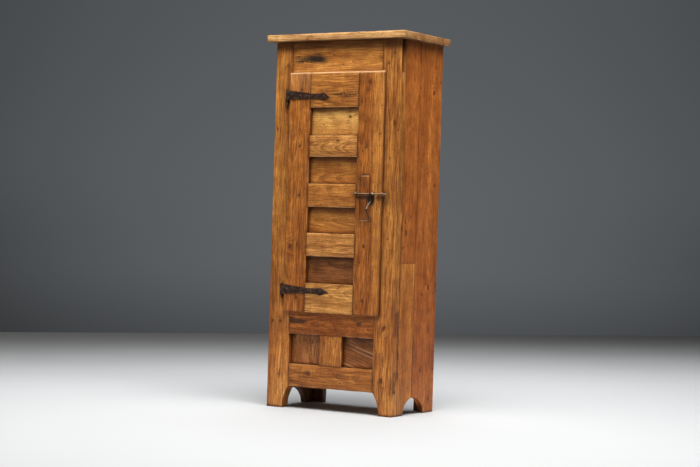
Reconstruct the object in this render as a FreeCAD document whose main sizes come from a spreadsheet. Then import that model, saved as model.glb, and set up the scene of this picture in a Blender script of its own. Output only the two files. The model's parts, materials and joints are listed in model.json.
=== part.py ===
import FreeCAD, Part
import math
import os
import re

import Sketcher

# Bonnetiere: a tall one-door country cupboard in pegged pine, with a lipped panelled door on
# two wrought strap hinges and a sliding rod bolt with an S-shaped pull.
# Millimetres. Origin on the floor under the middle of the top board, X to the right as one
# faces the door, Y towards the back, Z up.
# Inside a piece, x is counted from the middle or inwards from a side face, y from the front
# face of the carcass towards the back, and z upwards.

document = FreeCAD.newDocument("bonnetiere")
sheet = document.addObject("Spreadsheet::Sheet", "Sizes")

# The driving sizes, one row each in the sheet
SIZES = {
    # Whole cabinet
    "cabinet_height": 1720,
    "body_width": 672,
    "body_depth": 379,
    "top_thickness": 32,
    "top_side_overhang": 35,
    "top_front_overhang": 32,
    "top_rear_plank_depth": 68,
    "top_plank_gap": 1,
    "top_edge_round": 3.5,
    # Front posts, each a little wider at the foot than at the top
    "post_depth": 50,
    "left_post_top_width": 91,
    "left_post_foot_width": 119,
    "right_post_top_width": 96,
    "right_post_foot_width": 102,
    "post_taper_end": 104,
    "left_toe_width": 84,
    "right_toe_width": 66,
    "foot_cove_radius": 172,
    "arris_round": 2.5,
    # Front rails between the posts and the fixed panels below the door
    "rail_thickness": 40,
    "frieze_height": 168,
    "middle_rail_top": 470,
    "middle_rail_underside": 344,
    "bottom_rail_top": 205,
    "bottom_rail_underside": 102,
    "tenon_setback": 14,
    "tenon_thickness": 20,
    "frieze_tenon_rise": 17,
    "frieze_tenon_drop": 11,
    "frieze_tenon_recess": 20,
    "frieze_slot_setback": 6,
    "middle_tenon_rise": 20,
    "middle_tenon_drop": 8,
    "bottom_tenon_rise": 2,
    "bottom_tenon_drop": 9,
    "muntin_left": -52,
    "muntin_right": 66,
    "stub_tenon_length": 12,
    "lower_panel_setback": 26,
    "lower_panel_thickness": 10,
    "lower_panel_tongue": 8,
    # Sides: two upright boards each, the right front one pieced at its foot
    "side_thickness": 27,
    "side_seam": 177,
    "side_tongue_thickness": 8,
    "side_tongue_depth": 8,
    "side_tongue_start": 110,
    "seam_bevel": 1.2,
    "side_arch_radius": 97.5,
    "side_arch_height": 78,
    "side_arch_shift": 5,
    "patch_below_shelf": 16,
    "patch_lap": 40,
    # Back: posts with a rebate, two thin rails and lapped boards
    "rear_post_width": 59,
    "rear_post_thickness": 30,
    "back_board_thickness": 15,
    "back_rebate_width": 14,
    "back_rail_height": 90,
    "back_rail_low": 105,
    "back_tenon_length": 25,
    "back_tenon_thickness": 7,
    "back_tenon_shoulder": 12,
    "back_board_lap": 8,
    # Floor, shelves and the cleats that carry them
    "floor_height": 160,
    "shelf_thickness": 22,
    "floor_seam": 203,
    "board_end_gap": 0.5,
    "shelf_front_gap": 2,
    "shelf_back_gap": 1,
    "shelf_one_height": 700,
    "shelf_two_height": 1010,
    "shelf_three_height": 1320,
    "cleat_thickness": 22,
    "cleat_front_gap": 10,
    "cleat_rear_gap": 14,
    # Door: a lip lies on the frame and the inner half drops into the opening
    "door_left_inset": 86,
    "door_right_inset": 72,
    "door_low_lap": 24,
    "door_high_lap": 25,
    "door_lip": 15,
    "door_inset": 17,
    "door_gap": 3,
    "door_edge_round": 7,
    "hinge_stile_width": 118,
    "latch_stile_width": 137,
    "rail_one_height": 162,
    "rail_two_height": 98,
    "rail_three_height": 106.5,
    "rail_four_height": 106,
    "rail_five_height": 135,
    "inner_rails_drop": 4,
    "door_tenon_length": 85,
    "door_tenon_shoulder": 15,
    "door_tenon_setback": 5,
    "door_tenon_thickness": 10,
    "door_panel_setback": 7,
    "door_panel_thickness": 8,
    "door_panel_tongue": 8,
    # Pegs through the joints
    "peg_radius": 4.6,
    "peg_proud": 0.8,
    "frame_peg_depth": 40,
    "frame_peg_inset": 64,
    "frame_peg_outer_inset": 34,
    "frieze_peg_rise": 60,
    "frieze_peg_outer_rise": 105,
    "middle_peg_rise": 55,
    "middle_peg_right_inset": 45,
    "middle_peg_outer_inset": 20,
    "bottom_peg_rise": 53,
    "door_peg_inset": 50,
    "door_peg_end": 15,
    # Square forged nails
    "nail_shank": 3,
    "nail_head": 7.5,
    "nail_head_thickness": 1.5,
    "top_nail_length": 62,
    "top_nail_inset": 51,
    "top_nail_post_inset": 8,
    "top_nail_before_seam": 57,
    "top_nail_behind_seam": 73,
    "back_nail_length": 26,
    "side_nail_length": 50,
    "side_nail_low": 200,
    "side_nail_top_inset": 168,
    "cleat_nail_length": 40,
    "cleat_nail_inset": 35,
    # Strap hinges turning on pintles driven into the left post
    "hinge_inset": 103,
    "eye_door_gap": 3,
    "eye_post_gap": 1,
    "eye_height": 46,
    "eye_radius": 9,
    "eye_bore_radius": 4.6,
    "pin_clearance": 0.05,
    "strap_thickness": 4,
    "strap_neck": 25,
    "strap_barb": 38,
    "strap_bevel": 1.2,
    "upper_strap_length": 235,
    "upper_strap_drop": 11,
    "upper_neck_start": 136,
    "upper_neck_end": 181,
    "upper_barb": 204,
    "lower_strap_length": 260,
    "lower_strap_drop": 6.5,
    "lower_neck_start": 141,
    "lower_neck_end": 186,
    "lower_barb": 214,
    "pin_above_eye": 5,
    "eye_play": 0.4,
    "shoulder_radius": 8,
    "shoulder_thickness": 4,
    "spike_width": 9,
    "spike_depth": 40,
    "upper_tail_length": 26,
    "lower_tail_length": 8,
    "tail_tip": 4,
    "strap_nail_length": 18,
    "strap_nail_head": 10,
    "strap_nail_tip": 3,
    "strap_nail_rise": 3,
    "strap_nail_one": 32,
    "strap_nail_two": 74,
    "strap_nail_three": 110,
    # Rod bolt, its staples and keeper, and the pull that hangs from it
    "bolt_rise": 10,
    "rod_standoff": 23.2,
    "rod_radius": 3.5,
    "rod_left_reach": 15,
    "rod_right_reach": 19,
    "rod_end_bevel": 1.2,
    "slide_clearance": 0.3,
    "bow_width": 5,
    "bow_thickness": 5,
    "staple_left_inset": 128,
    "staple_right_inset": 42,
    "staple_bite": 12,
    "keeper_door_gap": 7,
    "keeper_bite": 14,
    "pull_inset": 55,
    "collar_radius": 5.7,
    "collar_width": 2,
    "pull_bar": 4,
    "pull_neck_drop": 36,
    "pull_neck_radius": 14,
    "pull_bow": 26,
    "pull_bow_drop": 72,
    "pull_bow_radius": 30,
    "pull_tail": 11,
    "pull_tail_drop": 122,
    "lock_patch_inset": 68,
    "lock_patch_width": 46.5,
    "lock_patch_below_bolt": 123,
    "lock_patch_above_bolt": 83,
    "lock_patch_thickness": 5,
}

for row, (name, number) in enumerate(SIZES.items(), 1):
    sheet.set(f"A{row}", name)
    sheet.set(f"B{row}", str(number))
    sheet.setAlias(f"B{row}", name)
document.recompute()

# Places worked out from the sizes
FRONT = "(top_front_overhang - body_depth) / 2"
CARCASS_TOP = "(cabinet_height - top_thickness)"
HALF_WIDTH = "(body_width / 2)"
INSIDE_HALF = "(body_width / 2 - side_thickness)"
BACK_HALF = "(body_width / 2 - side_thickness - rear_post_width)"
BOARD_FRONT = "(body_depth - back_board_thickness)"
REAR_POST_FRONT = "(body_depth - rear_post_thickness)"
BACK_RAIL_MIDDLE = f"(({REAR_POST_FRONT} + {BOARD_FRONT}) / 2)"
BACK_RAIL_LOWS = ("back_rail_low", f"({CARCASS_TOP} - back_rail_height)")
TENON_BACK = "(tenon_setback + tenon_thickness)"
PANEL_LAYER = ("lower_panel_setback", "lower_panel_setback + lower_panel_thickness")
PATCH_TOP = "(shelf_one_height - patch_below_shelf)"
FRIEZE_UNDERSIDE = f"({CARCASS_TOP} - frieze_height)"
FRIEZE_TENON = (f"({FRIEZE_UNDERSIDE} + frieze_tenon_rise)", f"({CARCASS_TOP} - frieze_tenon_drop)")
MIDDLE_TENON = ("(middle_rail_underside + middle_tenon_rise)", "(middle_rail_top - middle_tenon_drop)")
BOTTOM_TENON = ("(bottom_rail_underside + bottom_tenon_rise)", "(bottom_rail_top - bottom_tenon_drop)")
DOOR_LEFT = f"(door_left_inset - {HALF_WIDTH})"
DOOR_RIGHT = f"({HALF_WIDTH} - door_right_inset)"
DOOR_BOTTOM = "(middle_rail_top - door_low_lap)"
DOOR_TOP = f"({FRIEZE_UNDERSIDE} + door_high_lap)"
HINGE_STILE_INNER = f"({DOOR_LEFT} + hinge_stile_width)"
LATCH_STILE_INNER = f"({DOOR_RIGHT} - latch_stile_width)"
SLIDE_RADIUS = "(rod_radius + slide_clearance)"

# Inwards from a side face is to the right on the left side and to the left on the right side
SIDES = {"left": 1, "right": -1}
RIGHTWARDS = FreeCAD.Vector(1, 0, 0)
BACKWARDS = FreeCAD.Vector(0, 1, 0)
UPWARDS = FreeCAD.Vector(0, 0, 1)
# Two places closer than this are one
TOLERANCE = 0.001


def formula(text):
    """Put the sheet's name before every size in a formula."""
    return re.sub(r"\b[a-z]\w*\b(?!\()", r"Sizes.\g<0>", text)


def inward(side, text):
    """Formula for a distance counted inwards from the side face of that side."""
    return f"{SIDES[side]} * ({text})"


def side_outer(side):
    """The bounding side of a piece that faces outwards on that side of the cabinet."""
    return "XMin" if side == "left" else "XMax"


def post_edge(side, height):
    """Formula for the x of a front post's inner edge at a height, from the middle."""
    top = f"{side}_post_top_width"
    foot = f"{side}_post_foot_width"
    share = f"({CARCASS_TOP} - ({height})) / ({CARCASS_TOP} - post_taper_end)"
    return f"{SIDES[side]} * ({top} + ({foot} - {top}) * {share} - {HALF_WIDTH})"


def put(item, x, y, z):
    """Tie an object's place to formulas."""
    for axis, text in zip("xyz", (x, y, z)):
        item.setExpression(f"Placement.Base.{axis}", formula(text))


def new_body(name, x="0", y=FRONT, z="0"):
    """A body with its own label, placed in the cabinet."""
    body = document.addObject("PartDesign::Body", name)
    body.Label = name
    put(body, x, y, z)
    return body


def box(body, kind, x, y, z):
    """Add or cut a block between two formulas along each axis."""
    block = body.newObject(f"PartDesign::{kind}Box", f"{body.Label}_{kind}Box")
    for name, (low, high) in zip(("Length", "Width", "Height"), (x, y, z)):
        block.setExpression(name, formula(f"abs(({high}) - ({low}))"))
    put(block, *(f"min({low}; {high})" for low, high in (x, y, z)))
    return block


def add(body, x, y, z):
    """Add a block to a body."""
    return box(body, "Additive", x, y, z)


def cut(body, x, y, z):
    """Cut a block out of a body."""
    return box(body, "Subtractive", x, y, z)


def cylinder(body, kind, along, radius, length, x, y, z):
    """Add or cut a cylinder that starts at a point and runs along a direction."""
    round_piece = body.newObject(f"PartDesign::{kind}Cylinder", f"{body.Label}_{kind}Cylinder")
    round_piece.Placement.Rotation = FreeCAD.Rotation(UPWARDS, along)
    round_piece.setExpression("Radius", formula(radius))
    round_piece.setExpression("Height", formula(length))
    put(round_piece, x, y, z)
    return round_piece


def bore(body, radius, length, x, y, z, along=BACKWARDS):
    """Cut a round hole that starts at a point, straight back unless told otherwise."""
    return cylinder(body, "Subtractive", along, radius, length, x, y, z)


def peg_hole(body, start, length, x, z):
    """Cut an eight-sided hole for a peg that is driven from the front."""
    hole = body.newObject("PartDesign::SubtractivePrism", f"{body.Label}_PegHole")
    shape_peg(hole, length)
    put(hole, x, start, z)
    return hole


def shape_peg(pin, length):
    """Give a peg or its hole its eight flats and its direction."""
    pin.Polygon = 8
    pin.Placement.Rotation = FreeCAD.Rotation(UPWARDS, BACKWARDS)
    pin.setExpression("Circumradius", formula("peg_radius"))
    pin.setExpression("Height", formula(length))


def origin_plane(body, role):
    """One of the body's own three planes."""
    return [item for item in body.Origin.OriginFeatures if item.Role == role][0]


def outline(body, corners):
    """A closed sketch in the body's upright plane; its corners sit at pairs of formulas."""
    sketch = body.newObject("Sketcher::SketchObject", f"{body.Label}_Outline")
    sketch.AttachmentSupport = [(origin_plane(body, "XZ_Plane"), "")]
    sketch.MapMode = "FlatFace"
    count = len(corners)
    turns = [2 * math.pi * number / count for number in range(count)]
    spots = [FreeCAD.Vector(math.cos(turn), math.sin(turn), 0) for turn in turns]
    for number in range(count):
        following = (number + 1) % count
        sketch.addGeometry(Part.LineSegment(spots[number], spots[following]), False)
    for number in range(count):
        following = (number + 1) % count
        sketch.addConstraint(Sketcher.Constraint("Coincident", number, 2, following, 1))
    for number, corner in enumerate(corners):
        for name, axis, text in zip(("DistanceX", "DistanceY"), (-2, -1), corner):
            if text == "0":
                sketch.addConstraint(Sketcher.Constraint("PointOnObject", number, 1, axis))
                continue
            rule = Sketcher.Constraint(name, -1, 1, number, 1, 1.0)
            index = sketch.addConstraint(rule)
            sketch.setExpression(f"Constraints[{index}]", formula(text))
    return sketch


def pad(body, sketch, thickness, forwards=False):
    """Give a sketch thickness, backwards unless it should come forwards."""
    plate = body.newObject("PartDesign::Pad", f"{body.Label}_Pad")
    plate.Profile = sketch
    plate.setExpression("Length", formula(thickness))
    plate.Reversed = not forwards
    sketch.Visibility = False
    return plate


def edges_on(feature, *faces):
    """Names of a feature's edges that lie in all the named sides of its bounding box."""
    whole = feature.Shape.BoundBox
    names = []
    for number, edge in enumerate(feature.Shape.Edges, 1):
        bounds = edge.BoundBox
        ends = [
            (getattr(bounds, face[0] + "Min"), getattr(bounds, face[0] + "Max"))
            for face in faces
        ]
        places = [getattr(whole, face) for face in faces]
        if all(abs(low - place) < TOLERANCE and abs(high - place) < TOLERANCE
               for (low, high), place in zip(ends, places)):
            names.append(f"Edge{number}")
    return names


def dress(body, kind, property_name, size, *corners):
    """Round or bevel edges of the body's last feature, each named by the sides it lies in."""
    document.recompute()
    base = body.Tip
    names = [name for corner in corners for name in edges_on(base, *corner)]
    treatment = body.newObject(f"PartDesign::{kind}", f"{body.Label}_{kind}")
    treatment.Base = (base, names)
    treatment.setExpression(property_name, formula(size))
    return treatment


def round_edges(body, radius, *corners):
    """Round the edges named by the sides that they lie in."""
    return dress(body, "Fillet", "Radius", radius, *corners)


def bevel_edges(body, size, *corners):
    """Bevel the edges named by the sides that they lie in."""
    return dress(body, "Chamfer", "Size", size, *corners)


def group(name, members):
    """Several like pieces that share one name."""
    together = document.addObject("Part::Compound", name)
    together.Label = name
    together.Links = members
    return together


# ---------------------------------------------------------------- nails and pegs

# A nail is placed by its head's middle, flush with the surface, and runs along a direction.
# The same two blocks cut its seat out of each piece that it passes through.


def span(middle, width):
    """The two ends of a width about its middle."""
    return (f"({middle}) - {width} / 2", f"({middle}) + {width} / 2")


def run(start, direction, length):
    """The two ends of a length from its start, forwards (1) or backwards (-1) along the axis."""
    return (f"({start})", f"({start}) + {direction} * ({length})")


def nail_blocks(axis, direction, place, length):
    """The x, y and z spans of a nail's head and of its shank."""
    blocks = []
    for width, reach in (("nail_head", "nail_head_thickness"), ("nail_shank", length)):
        spans = [span(middle, width) for middle in place]
        spans[axis] = run(place[axis], direction, reach)
        blocks.append(spans)
    return blocks


def nail_seat(body, axis, direction, place, length):
    """Cut a nail's seat; place is in the body's own frame."""
    for spans in nail_blocks(axis, direction, place, length):
        cut(body, *spans)


def solid_block(name, spans):
    """A block outside any body, between two formulas along each axis."""
    block = document.addObject("Part::Box", name)
    for side, (low, high) in zip(("Length", "Width", "Height"), spans):
        block.setExpression(side, formula(f"abs(({high}) - ({low}))"))
    put(block, *(f"min({low}; {high})" for low, high in spans))
    return block


def nail(axis, direction, place, length):
    """A square nail with a flat head; place is counted from the floor and the carcass front."""
    place = (place[0], f"{FRONT} + {place[1]}", place[2])
    head, shank = (solid_block("nail_block", spans)
                   for spans in nail_blocks(axis, direction, place, length))
    whole = document.addObject("Part::Fuse", "nail")
    whole.Base = head
    whole.Tool = shank
    return whole


def peg(x, start, end, z):
    """An eight-sided whittled peg driven from the front; start and end from the carcass front."""
    pin = document.addObject("Part::Prism", "peg")
    shape_peg(pin, f"({end}) - ({start})")
    put(pin, x, f"{FRONT} + {start}", z)
    return pin


FRIEZE_PEG = f"({FRIEZE_UNDERSIDE} + frieze_peg_rise)"
FRIEZE_PEG_OUTER = f"({FRIEZE_UNDERSIDE} + frieze_peg_outer_rise)"
MIDDLE_PEG = "(middle_rail_underside + middle_peg_rise)"
BOTTOM_PEG = "(bottom_rail_underside + bottom_peg_rise)"

# Frame pegs: side, inset from the side face, height
FRAME_PEGS = (
    ("left", "frame_peg_inset", FRIEZE_PEG),
    ("right", "frame_peg_inset", FRIEZE_PEG),
    ("right", "frame_peg_outer_inset", FRIEZE_PEG_OUTER),
    ("left", "frame_peg_inset", MIDDLE_PEG),
    ("left", "middle_peg_outer_inset", MIDDLE_PEG),
    ("right", "middle_peg_right_inset", MIDDLE_PEG),
    ("left", "frame_peg_inset", BOTTOM_PEG),
    ("right", "frame_peg_inset", BOTTOM_PEG),
)


def peg_x(side, inset):
    """Formula for a frame peg's x from the middle of the cabinet."""
    return f"{SIDES[side]} * ({inset} - {HALF_WIDTH})"


# Nails down through the top's two planks: x from the middle, y from the carcass front
TOP_NAIL_X = f"({HALF_WIDTH} - top_nail_inset)"
SIDE_NAIL_X = f"({HALF_WIDTH} - side_thickness / 2)"
POST_NAIL_SETBACK = "(post_depth - top_nail_post_inset)"
BEFORE_SEAM = "(side_seam - top_nail_before_seam)"
BEHIND_SEAM = "(side_seam + top_nail_behind_seam)"
FRONT_PLANK_NAILS = (
    (f"-{TOP_NAIL_X}", POST_NAIL_SETBACK),
    (TOP_NAIL_X, POST_NAIL_SETBACK),
    ("0", "rail_thickness / 2"),
    (f"-{SIDE_NAIL_X}", BEFORE_SEAM),
    (f"-{SIDE_NAIL_X}", BEHIND_SEAM),
    (SIDE_NAIL_X, BEFORE_SEAM),
    (SIDE_NAIL_X, BEHIND_SEAM),
)
REAR_PLANK_NAILS = (
    (f"-{TOP_NAIL_X}", BACK_RAIL_MIDDLE),
    (TOP_NAIL_X, BACK_RAIL_MIDDLE),
)

SIDE_NAIL_HIGH = f"({CARCASS_TOP} - side_nail_top_inset)"
SIDE_NAIL_HEIGHTS = ("side_nail_low", f"((side_nail_low + {SIDE_NAIL_HIGH}) / 2)", SIDE_NAIL_HIGH)
SIDE_NAIL_SETBACK = f"(({REAR_POST_FRONT} + body_depth) / 2)"


def top_nail_seat(body, x, y, top):
    """Seat of a nail driven down through the top board; top is in the body's own frame."""
    nail_seat(body, 2, -1, (x, y, top), "top_nail_length")


# ---------------------------------------------------------------- top board

front_plank = new_body("top_front_plank", z=CARCASS_TOP)
SEAM = "(body_depth - top_rear_plank_depth)"
TOP_SPAN = (f"-{HALF_WIDTH} - top_side_overhang", f"{HALF_WIDTH} + top_side_overhang")
add(front_plank, TOP_SPAN, ("-top_front_overhang", f"{SEAM} - top_plank_gap"), ("0", "top_thickness"))
round_edges(
    front_plank, "top_edge_round",
    ("YMin", "ZMax"), ("YMin", "ZMin"), ("XMin", "ZMax"), ("XMax", "ZMax"),
    ("XMin", "YMin"), ("XMax", "YMin"),
)
for x, y in FRONT_PLANK_NAILS:
    top_nail_seat(front_plank, x, y, "top_thickness")

rear_plank = new_body("top_rear_plank", z=CARCASS_TOP)
add(rear_plank, TOP_SPAN, (SEAM, "body_depth"), ("0", "top_thickness"))
round_edges(rear_plank, "top_edge_round", ("XMin", "ZMax"), ("XMax", "ZMax"))
for x, y in REAR_PLANK_NAILS:
    top_nail_seat(rear_plank, x, y, "top_thickness")

# ---------------------------------------------------------------- front posts


def panel_edge_inset(side):
    """Formula for how far a lower panel's outer edge is from the side face."""
    return f"{side}_post_foot_width - lower_panel_tongue"


def front_post(side):
    """Tapered post, counted inwards from its side face, with mortises, grooves and a coved foot."""
    post = new_body(f"front_post_{side}", x=f"{-SIDES[side]} * {HALF_WIDTH}")
    foot = inward(side, f"{side}_post_foot_width")
    profile = outline(post, (
        ("0", "0"),
        (foot, "0"),
        (foot, "post_taper_end"),
        (inward(side, f"{side}_post_top_width"), CARCASS_TOP),
        ("0", CARCASS_TOP),
    ))
    pad(post, profile, "post_depth")
    round_edges(post, "arris_round", (side_outer(side), "YMin"))
    bore(post, "foot_cove_radius", "post_depth",
         inward(side, f"{side}_toe_width + foot_cove_radius"), "0", "0")
    through = ("0", foot)
    tenon = ("tenon_setback", TENON_BACK)
    cut(post, through, ("frieze_slot_setback", TENON_BACK), (FRIEZE_TENON[0], CARCASS_TOP))
    cut(post, through, tenon, MIDDLE_TENON)
    cut(post, through, tenon, BOTTOM_TENON)
    groove = (inward(side, panel_edge_inset(side)), foot)
    cut(post, groove, PANEL_LAYER,
        ("bottom_rail_top - lower_panel_tongue", "middle_rail_underside + lower_panel_tongue"))
    middle = inward(side, "side_thickness / 2")
    cut(post, span(middle, "side_tongue_thickness"),
        ("post_depth - side_tongue_depth", "post_depth"), ("side_tongue_start", CARCASS_TOP))
    for peg_side, inset, height in FRAME_PEGS:
        if peg_side == side:
            peg_hole(post, "0", "frame_peg_depth", inward(side, inset), height)
    top_nail_seat(post, inward(side, "top_nail_inset"), POST_NAIL_SETBACK, "cabinet_height")
    return post


posts = {side: front_post(side) for side in SIDES}

# ---------------------------------------------------------------- front rails

# The heights of the pegs that hold each rail
RAIL_PEGS = {
    "frieze_rail": (FRIEZE_PEG, FRIEZE_PEG_OUTER),
    "middle_rail": (MIDDLE_PEG,),
    "bottom_rail": (BOTTOM_PEG,),
}


def front_rail(name, low, high, tenon, recess="0"):
    """A rail cut to the taper of both posts, with a long tenon through each."""
    rail = new_body(name, z=low)
    height = f"{high} - {low}"
    profile = outline(rail, (
        (post_edge("left", low), "0"),
        (post_edge("right", low), "0"),
        (post_edge("right", high), height),
        (post_edge("left", high), height),
    ))
    pad(rail, profile, "rail_thickness")
    add(rail, (f"{recess} - {HALF_WIDTH}", f"{HALF_WIDTH} - {recess}"), ("tenon_setback", TENON_BACK),
        (f"{tenon[0]} - {low}", f"{tenon[1]} - {low}"))
    for side, inset, peg_height in FRAME_PEGS:
        if peg_height in RAIL_PEGS[name]:
            peg_hole(rail, "0", "frame_peg_depth", peg_x(side, inset), f"{peg_height} - {low}")
    return rail


frieze_rail = front_rail("frieze_rail", FRIEZE_UNDERSIDE, CARCASS_TOP, FRIEZE_TENON,
                         "frieze_tenon_recess")
top_nail_seat(frieze_rail, "0", "rail_thickness / 2", f"cabinet_height - {FRIEZE_UNDERSIDE}")
middle_rail = front_rail("middle_rail", "middle_rail_underside", "middle_rail_top", MIDDLE_TENON)
bottom_rail = front_rail("bottom_rail", "bottom_rail_underside", "bottom_rail_top", BOTTOM_TENON)

LEFT_PANEL = (f"{panel_edge_inset('left')} - {HALF_WIDTH}", "muntin_left + lower_panel_tongue")
RIGHT_PANEL = ("muntin_right - lower_panel_tongue", f"{HALF_WIDTH} - ({panel_edge_inset('right')})")
BOTTOM_RAIL_HEIGHT = "(bottom_rail_top - bottom_rail_underside)"
for panel_span in (LEFT_PANEL, RIGHT_PANEL):
    cut(middle_rail, panel_span, PANEL_LAYER, ("0", "lower_panel_tongue"))
    cut(bottom_rail, panel_span, PANEL_LAYER,
        (f"{BOTTOM_RAIL_HEIGHT} - lower_panel_tongue", BOTTOM_RAIL_HEIGHT))
MUNTIN_TENON = ("muntin_left + lower_panel_tongue", "muntin_right - lower_panel_tongue")
cut(middle_rail, MUNTIN_TENON, PANEL_LAYER, ("0", "stub_tenon_length"))
cut(bottom_rail, MUNTIN_TENON, PANEL_LAYER,
    (f"{BOTTOM_RAIL_HEIGHT} - stub_tenon_length", BOTTOM_RAIL_HEIGHT))

muntin = new_body("lower_muntin", z="bottom_rail_top")
OPENING_HEIGHT = "(middle_rail_underside - bottom_rail_top)"
add(muntin, ("muntin_left", "muntin_right"), ("0", "rail_thickness"), ("0", OPENING_HEIGHT))
add(muntin, MUNTIN_TENON, PANEL_LAYER,
    ("-stub_tenon_length", f"{OPENING_HEIGHT} + stub_tenon_length"))
cut(muntin, ("muntin_left", "muntin_left + lower_panel_tongue"), PANEL_LAYER, ("0", OPENING_HEIGHT))
cut(muntin, ("muntin_right - lower_panel_tongue", "muntin_right"), PANEL_LAYER, ("0", OPENING_HEIGHT))

for name, panel_span in (("lower_panel_left", LEFT_PANEL), ("lower_panel_right", RIGHT_PANEL)):
    panel = new_body(name, z="bottom_rail_top - lower_panel_tongue")
    add(panel, panel_span, PANEL_LAYER, ("0", f"{OPENING_HEIGHT} + 2 * lower_panel_tongue"))

# ---------------------------------------------------------------- sides


def cut_side_arch(board, side):
    """The low arch between the front and the rear foot, cut straight through the side."""
    start = "0" if side == "left" else "-side_thickness"
    bore(board, "side_arch_radius", "side_thickness", start, "body_depth / 2 + side_arch_shift",
         "side_arch_height - side_arch_radius", along=RIGHTWARDS)


def front_side_board(name, side, low, high):
    """Upright board tongued into the front post and grooved for the board behind it."""
    board = new_body(name, x=f"{-SIDES[side]} * {HALF_WIDTH}")
    add(board, ("0", inward(side, "side_thickness")), ("post_depth", "side_seam"), (low, high))
    bevel_edges(board, "seam_bevel", (side_outer(side), "YMin"), (side_outer(side), "YMax"))
    middle = inward(side, "side_thickness / 2")
    tongue = span(middle, "side_tongue_thickness")
    add(board, tongue, ("post_depth - side_tongue_depth", "post_depth"),
        (f"max({low}; side_tongue_start)", high))
    cut(board, tongue, ("side_seam - side_tongue_depth", "side_seam"),
        (f"max({low}; side_tongue_start)", high))
    return board


def rear_side_board(side):
    """Upright board tongued into the front side board and nailed to the rear post."""
    board = new_body(f"{side}_side_rear_board", x=f"{-SIDES[side]} * {HALF_WIDTH}")
    add(board, ("0", inward(side, "side_thickness")), ("side_seam", "body_depth"), ("0", CARCASS_TOP))
    bevel_edges(board, "seam_bevel", (side_outer(side), "YMin"))
    round_edges(board, "arris_round", (side_outer(side), "YMax"))
    tongue = span(inward(side, "side_thickness / 2"), "side_tongue_thickness")
    add(board, tongue, ("side_seam - side_tongue_depth", "side_seam"),
        ("side_tongue_start", CARCASS_TOP))
    cut_side_arch(board, side)
    for height in SIDE_NAIL_HEIGHTS:
        nail_seat(board, 0, SIDES[side], ("0", SIDE_NAIL_SETBACK, height), "side_nail_length")
    return board


whole_board = front_side_board("left_side_front_board", "left", "0", CARCASS_TOP)
upper_board = front_side_board("right_side_front_board", "right", PATCH_TOP, CARCASS_TOP)
patch_board = front_side_board("right_side_patch", "right", "0", f"{PATCH_TOP} + patch_lap")
cut_side_arch(whole_board, "left")
cut_side_arch(patch_board, "right")
LAP_DEPTH = ("post_depth - side_tongue_depth", "side_seam")
LAP_HEIGHT = (PATCH_TOP, f"{PATCH_TOP} + patch_lap")
cut(upper_board, (inward("right", "side_thickness / 2"), inward("right", "side_thickness")),
    LAP_DEPTH, LAP_HEIGHT)
cut(patch_board, ("0", inward("right", "side_thickness / 2")), LAP_DEPTH, LAP_HEIGHT)
rear_boards = {side: rear_side_board(side) for side in SIDES}

SIDE_TOPS = {"left": whole_board, "right": upper_board}
for side, board in SIDE_TOPS.items():
    middle = inward(side, "side_thickness / 2")
    top_nail_seat(board, middle, BEFORE_SEAM, "cabinet_height")
    top_nail_seat(rear_boards[side], middle, BEHIND_SEAM, "cabinet_height")

# ---------------------------------------------------------------- back


def rear_post(side):
    """Square post inside the back corner, rebated for the back boards."""
    post = new_body(f"rear_post_{side}", x=f"{-SIDES[side]} * {INSIDE_HALF}")
    inner = inward(side, "rear_post_width")
    add(post, ("0", inner), (REAR_POST_FRONT, "body_depth"), ("0", CARCASS_TOP))
    rebate = inward(side, "rear_post_width - back_rebate_width")
    cut(post, (rebate, inner), (BOARD_FRONT, "body_depth"), ("back_rail_low", CARCASS_TOP))
    mortise = inward(side, "rear_post_width - back_tenon_length")
    for low in BACK_RAIL_LOWS:
        cut(post, (mortise, inner), span(BACK_RAIL_MIDDLE, "back_tenon_thickness"),
            (f"{low} + back_tenon_shoulder", f"{low} + back_rail_height - back_tenon_shoulder"))
    outer_face = inward(side, "-side_thickness")
    for height in SIDE_NAIL_HEIGHTS:
        nail_seat(post, 0, SIDES[side], (outer_face, SIDE_NAIL_SETBACK, height),
                  "side_nail_length")
    top_nail_seat(post, inward(side, "top_nail_inset - side_thickness"), BACK_RAIL_MIDDLE,
                  "cabinet_height")
    return post


for side in SIDES:
    rear_post(side)

BACK_SPAN = f"({BACK_HALF} + back_rebate_width)"
BACK_BOARDS = range(4)
BACK_BOARD_WIDTH = f"({BACK_SPAN} * 2 / {len(BACK_BOARDS)})"


def back_board_left(number):
    """Formula for the x of a back board's left edge from the middle."""
    return f"({number} * {BACK_BOARD_WIDTH} - {BACK_SPAN})"


def back_nail_x(number):
    """Formula for the x of the nails in a back board."""
    return f"({back_board_left(number)} + {BACK_BOARD_WIDTH} / 2)"


def back_nail_height(low):
    """Formula for the height of the nails into a back rail."""
    return f"({low} + back_rail_height / 2)"


for name, low in zip(("back_rail_bottom", "back_rail_top"), BACK_RAIL_LOWS):
    back_rail = new_body(name, z=low)
    add(back_rail, (f"-{BACK_HALF}", BACK_HALF), (REAR_POST_FRONT, BOARD_FRONT), ("0", "back_rail_height"))
    add(back_rail, (f"-{BACK_HALF} - back_tenon_length", f"{BACK_HALF} + back_tenon_length"),
        span(BACK_RAIL_MIDDLE, "back_tenon_thickness"),
        ("back_tenon_shoulder", "back_rail_height - back_tenon_shoulder"))
    for number in BACK_BOARDS:
        nail_seat(back_rail, 1, -1, (back_nail_x(number), "body_depth", "back_rail_height / 2"),
                  "back_nail_length")

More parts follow.
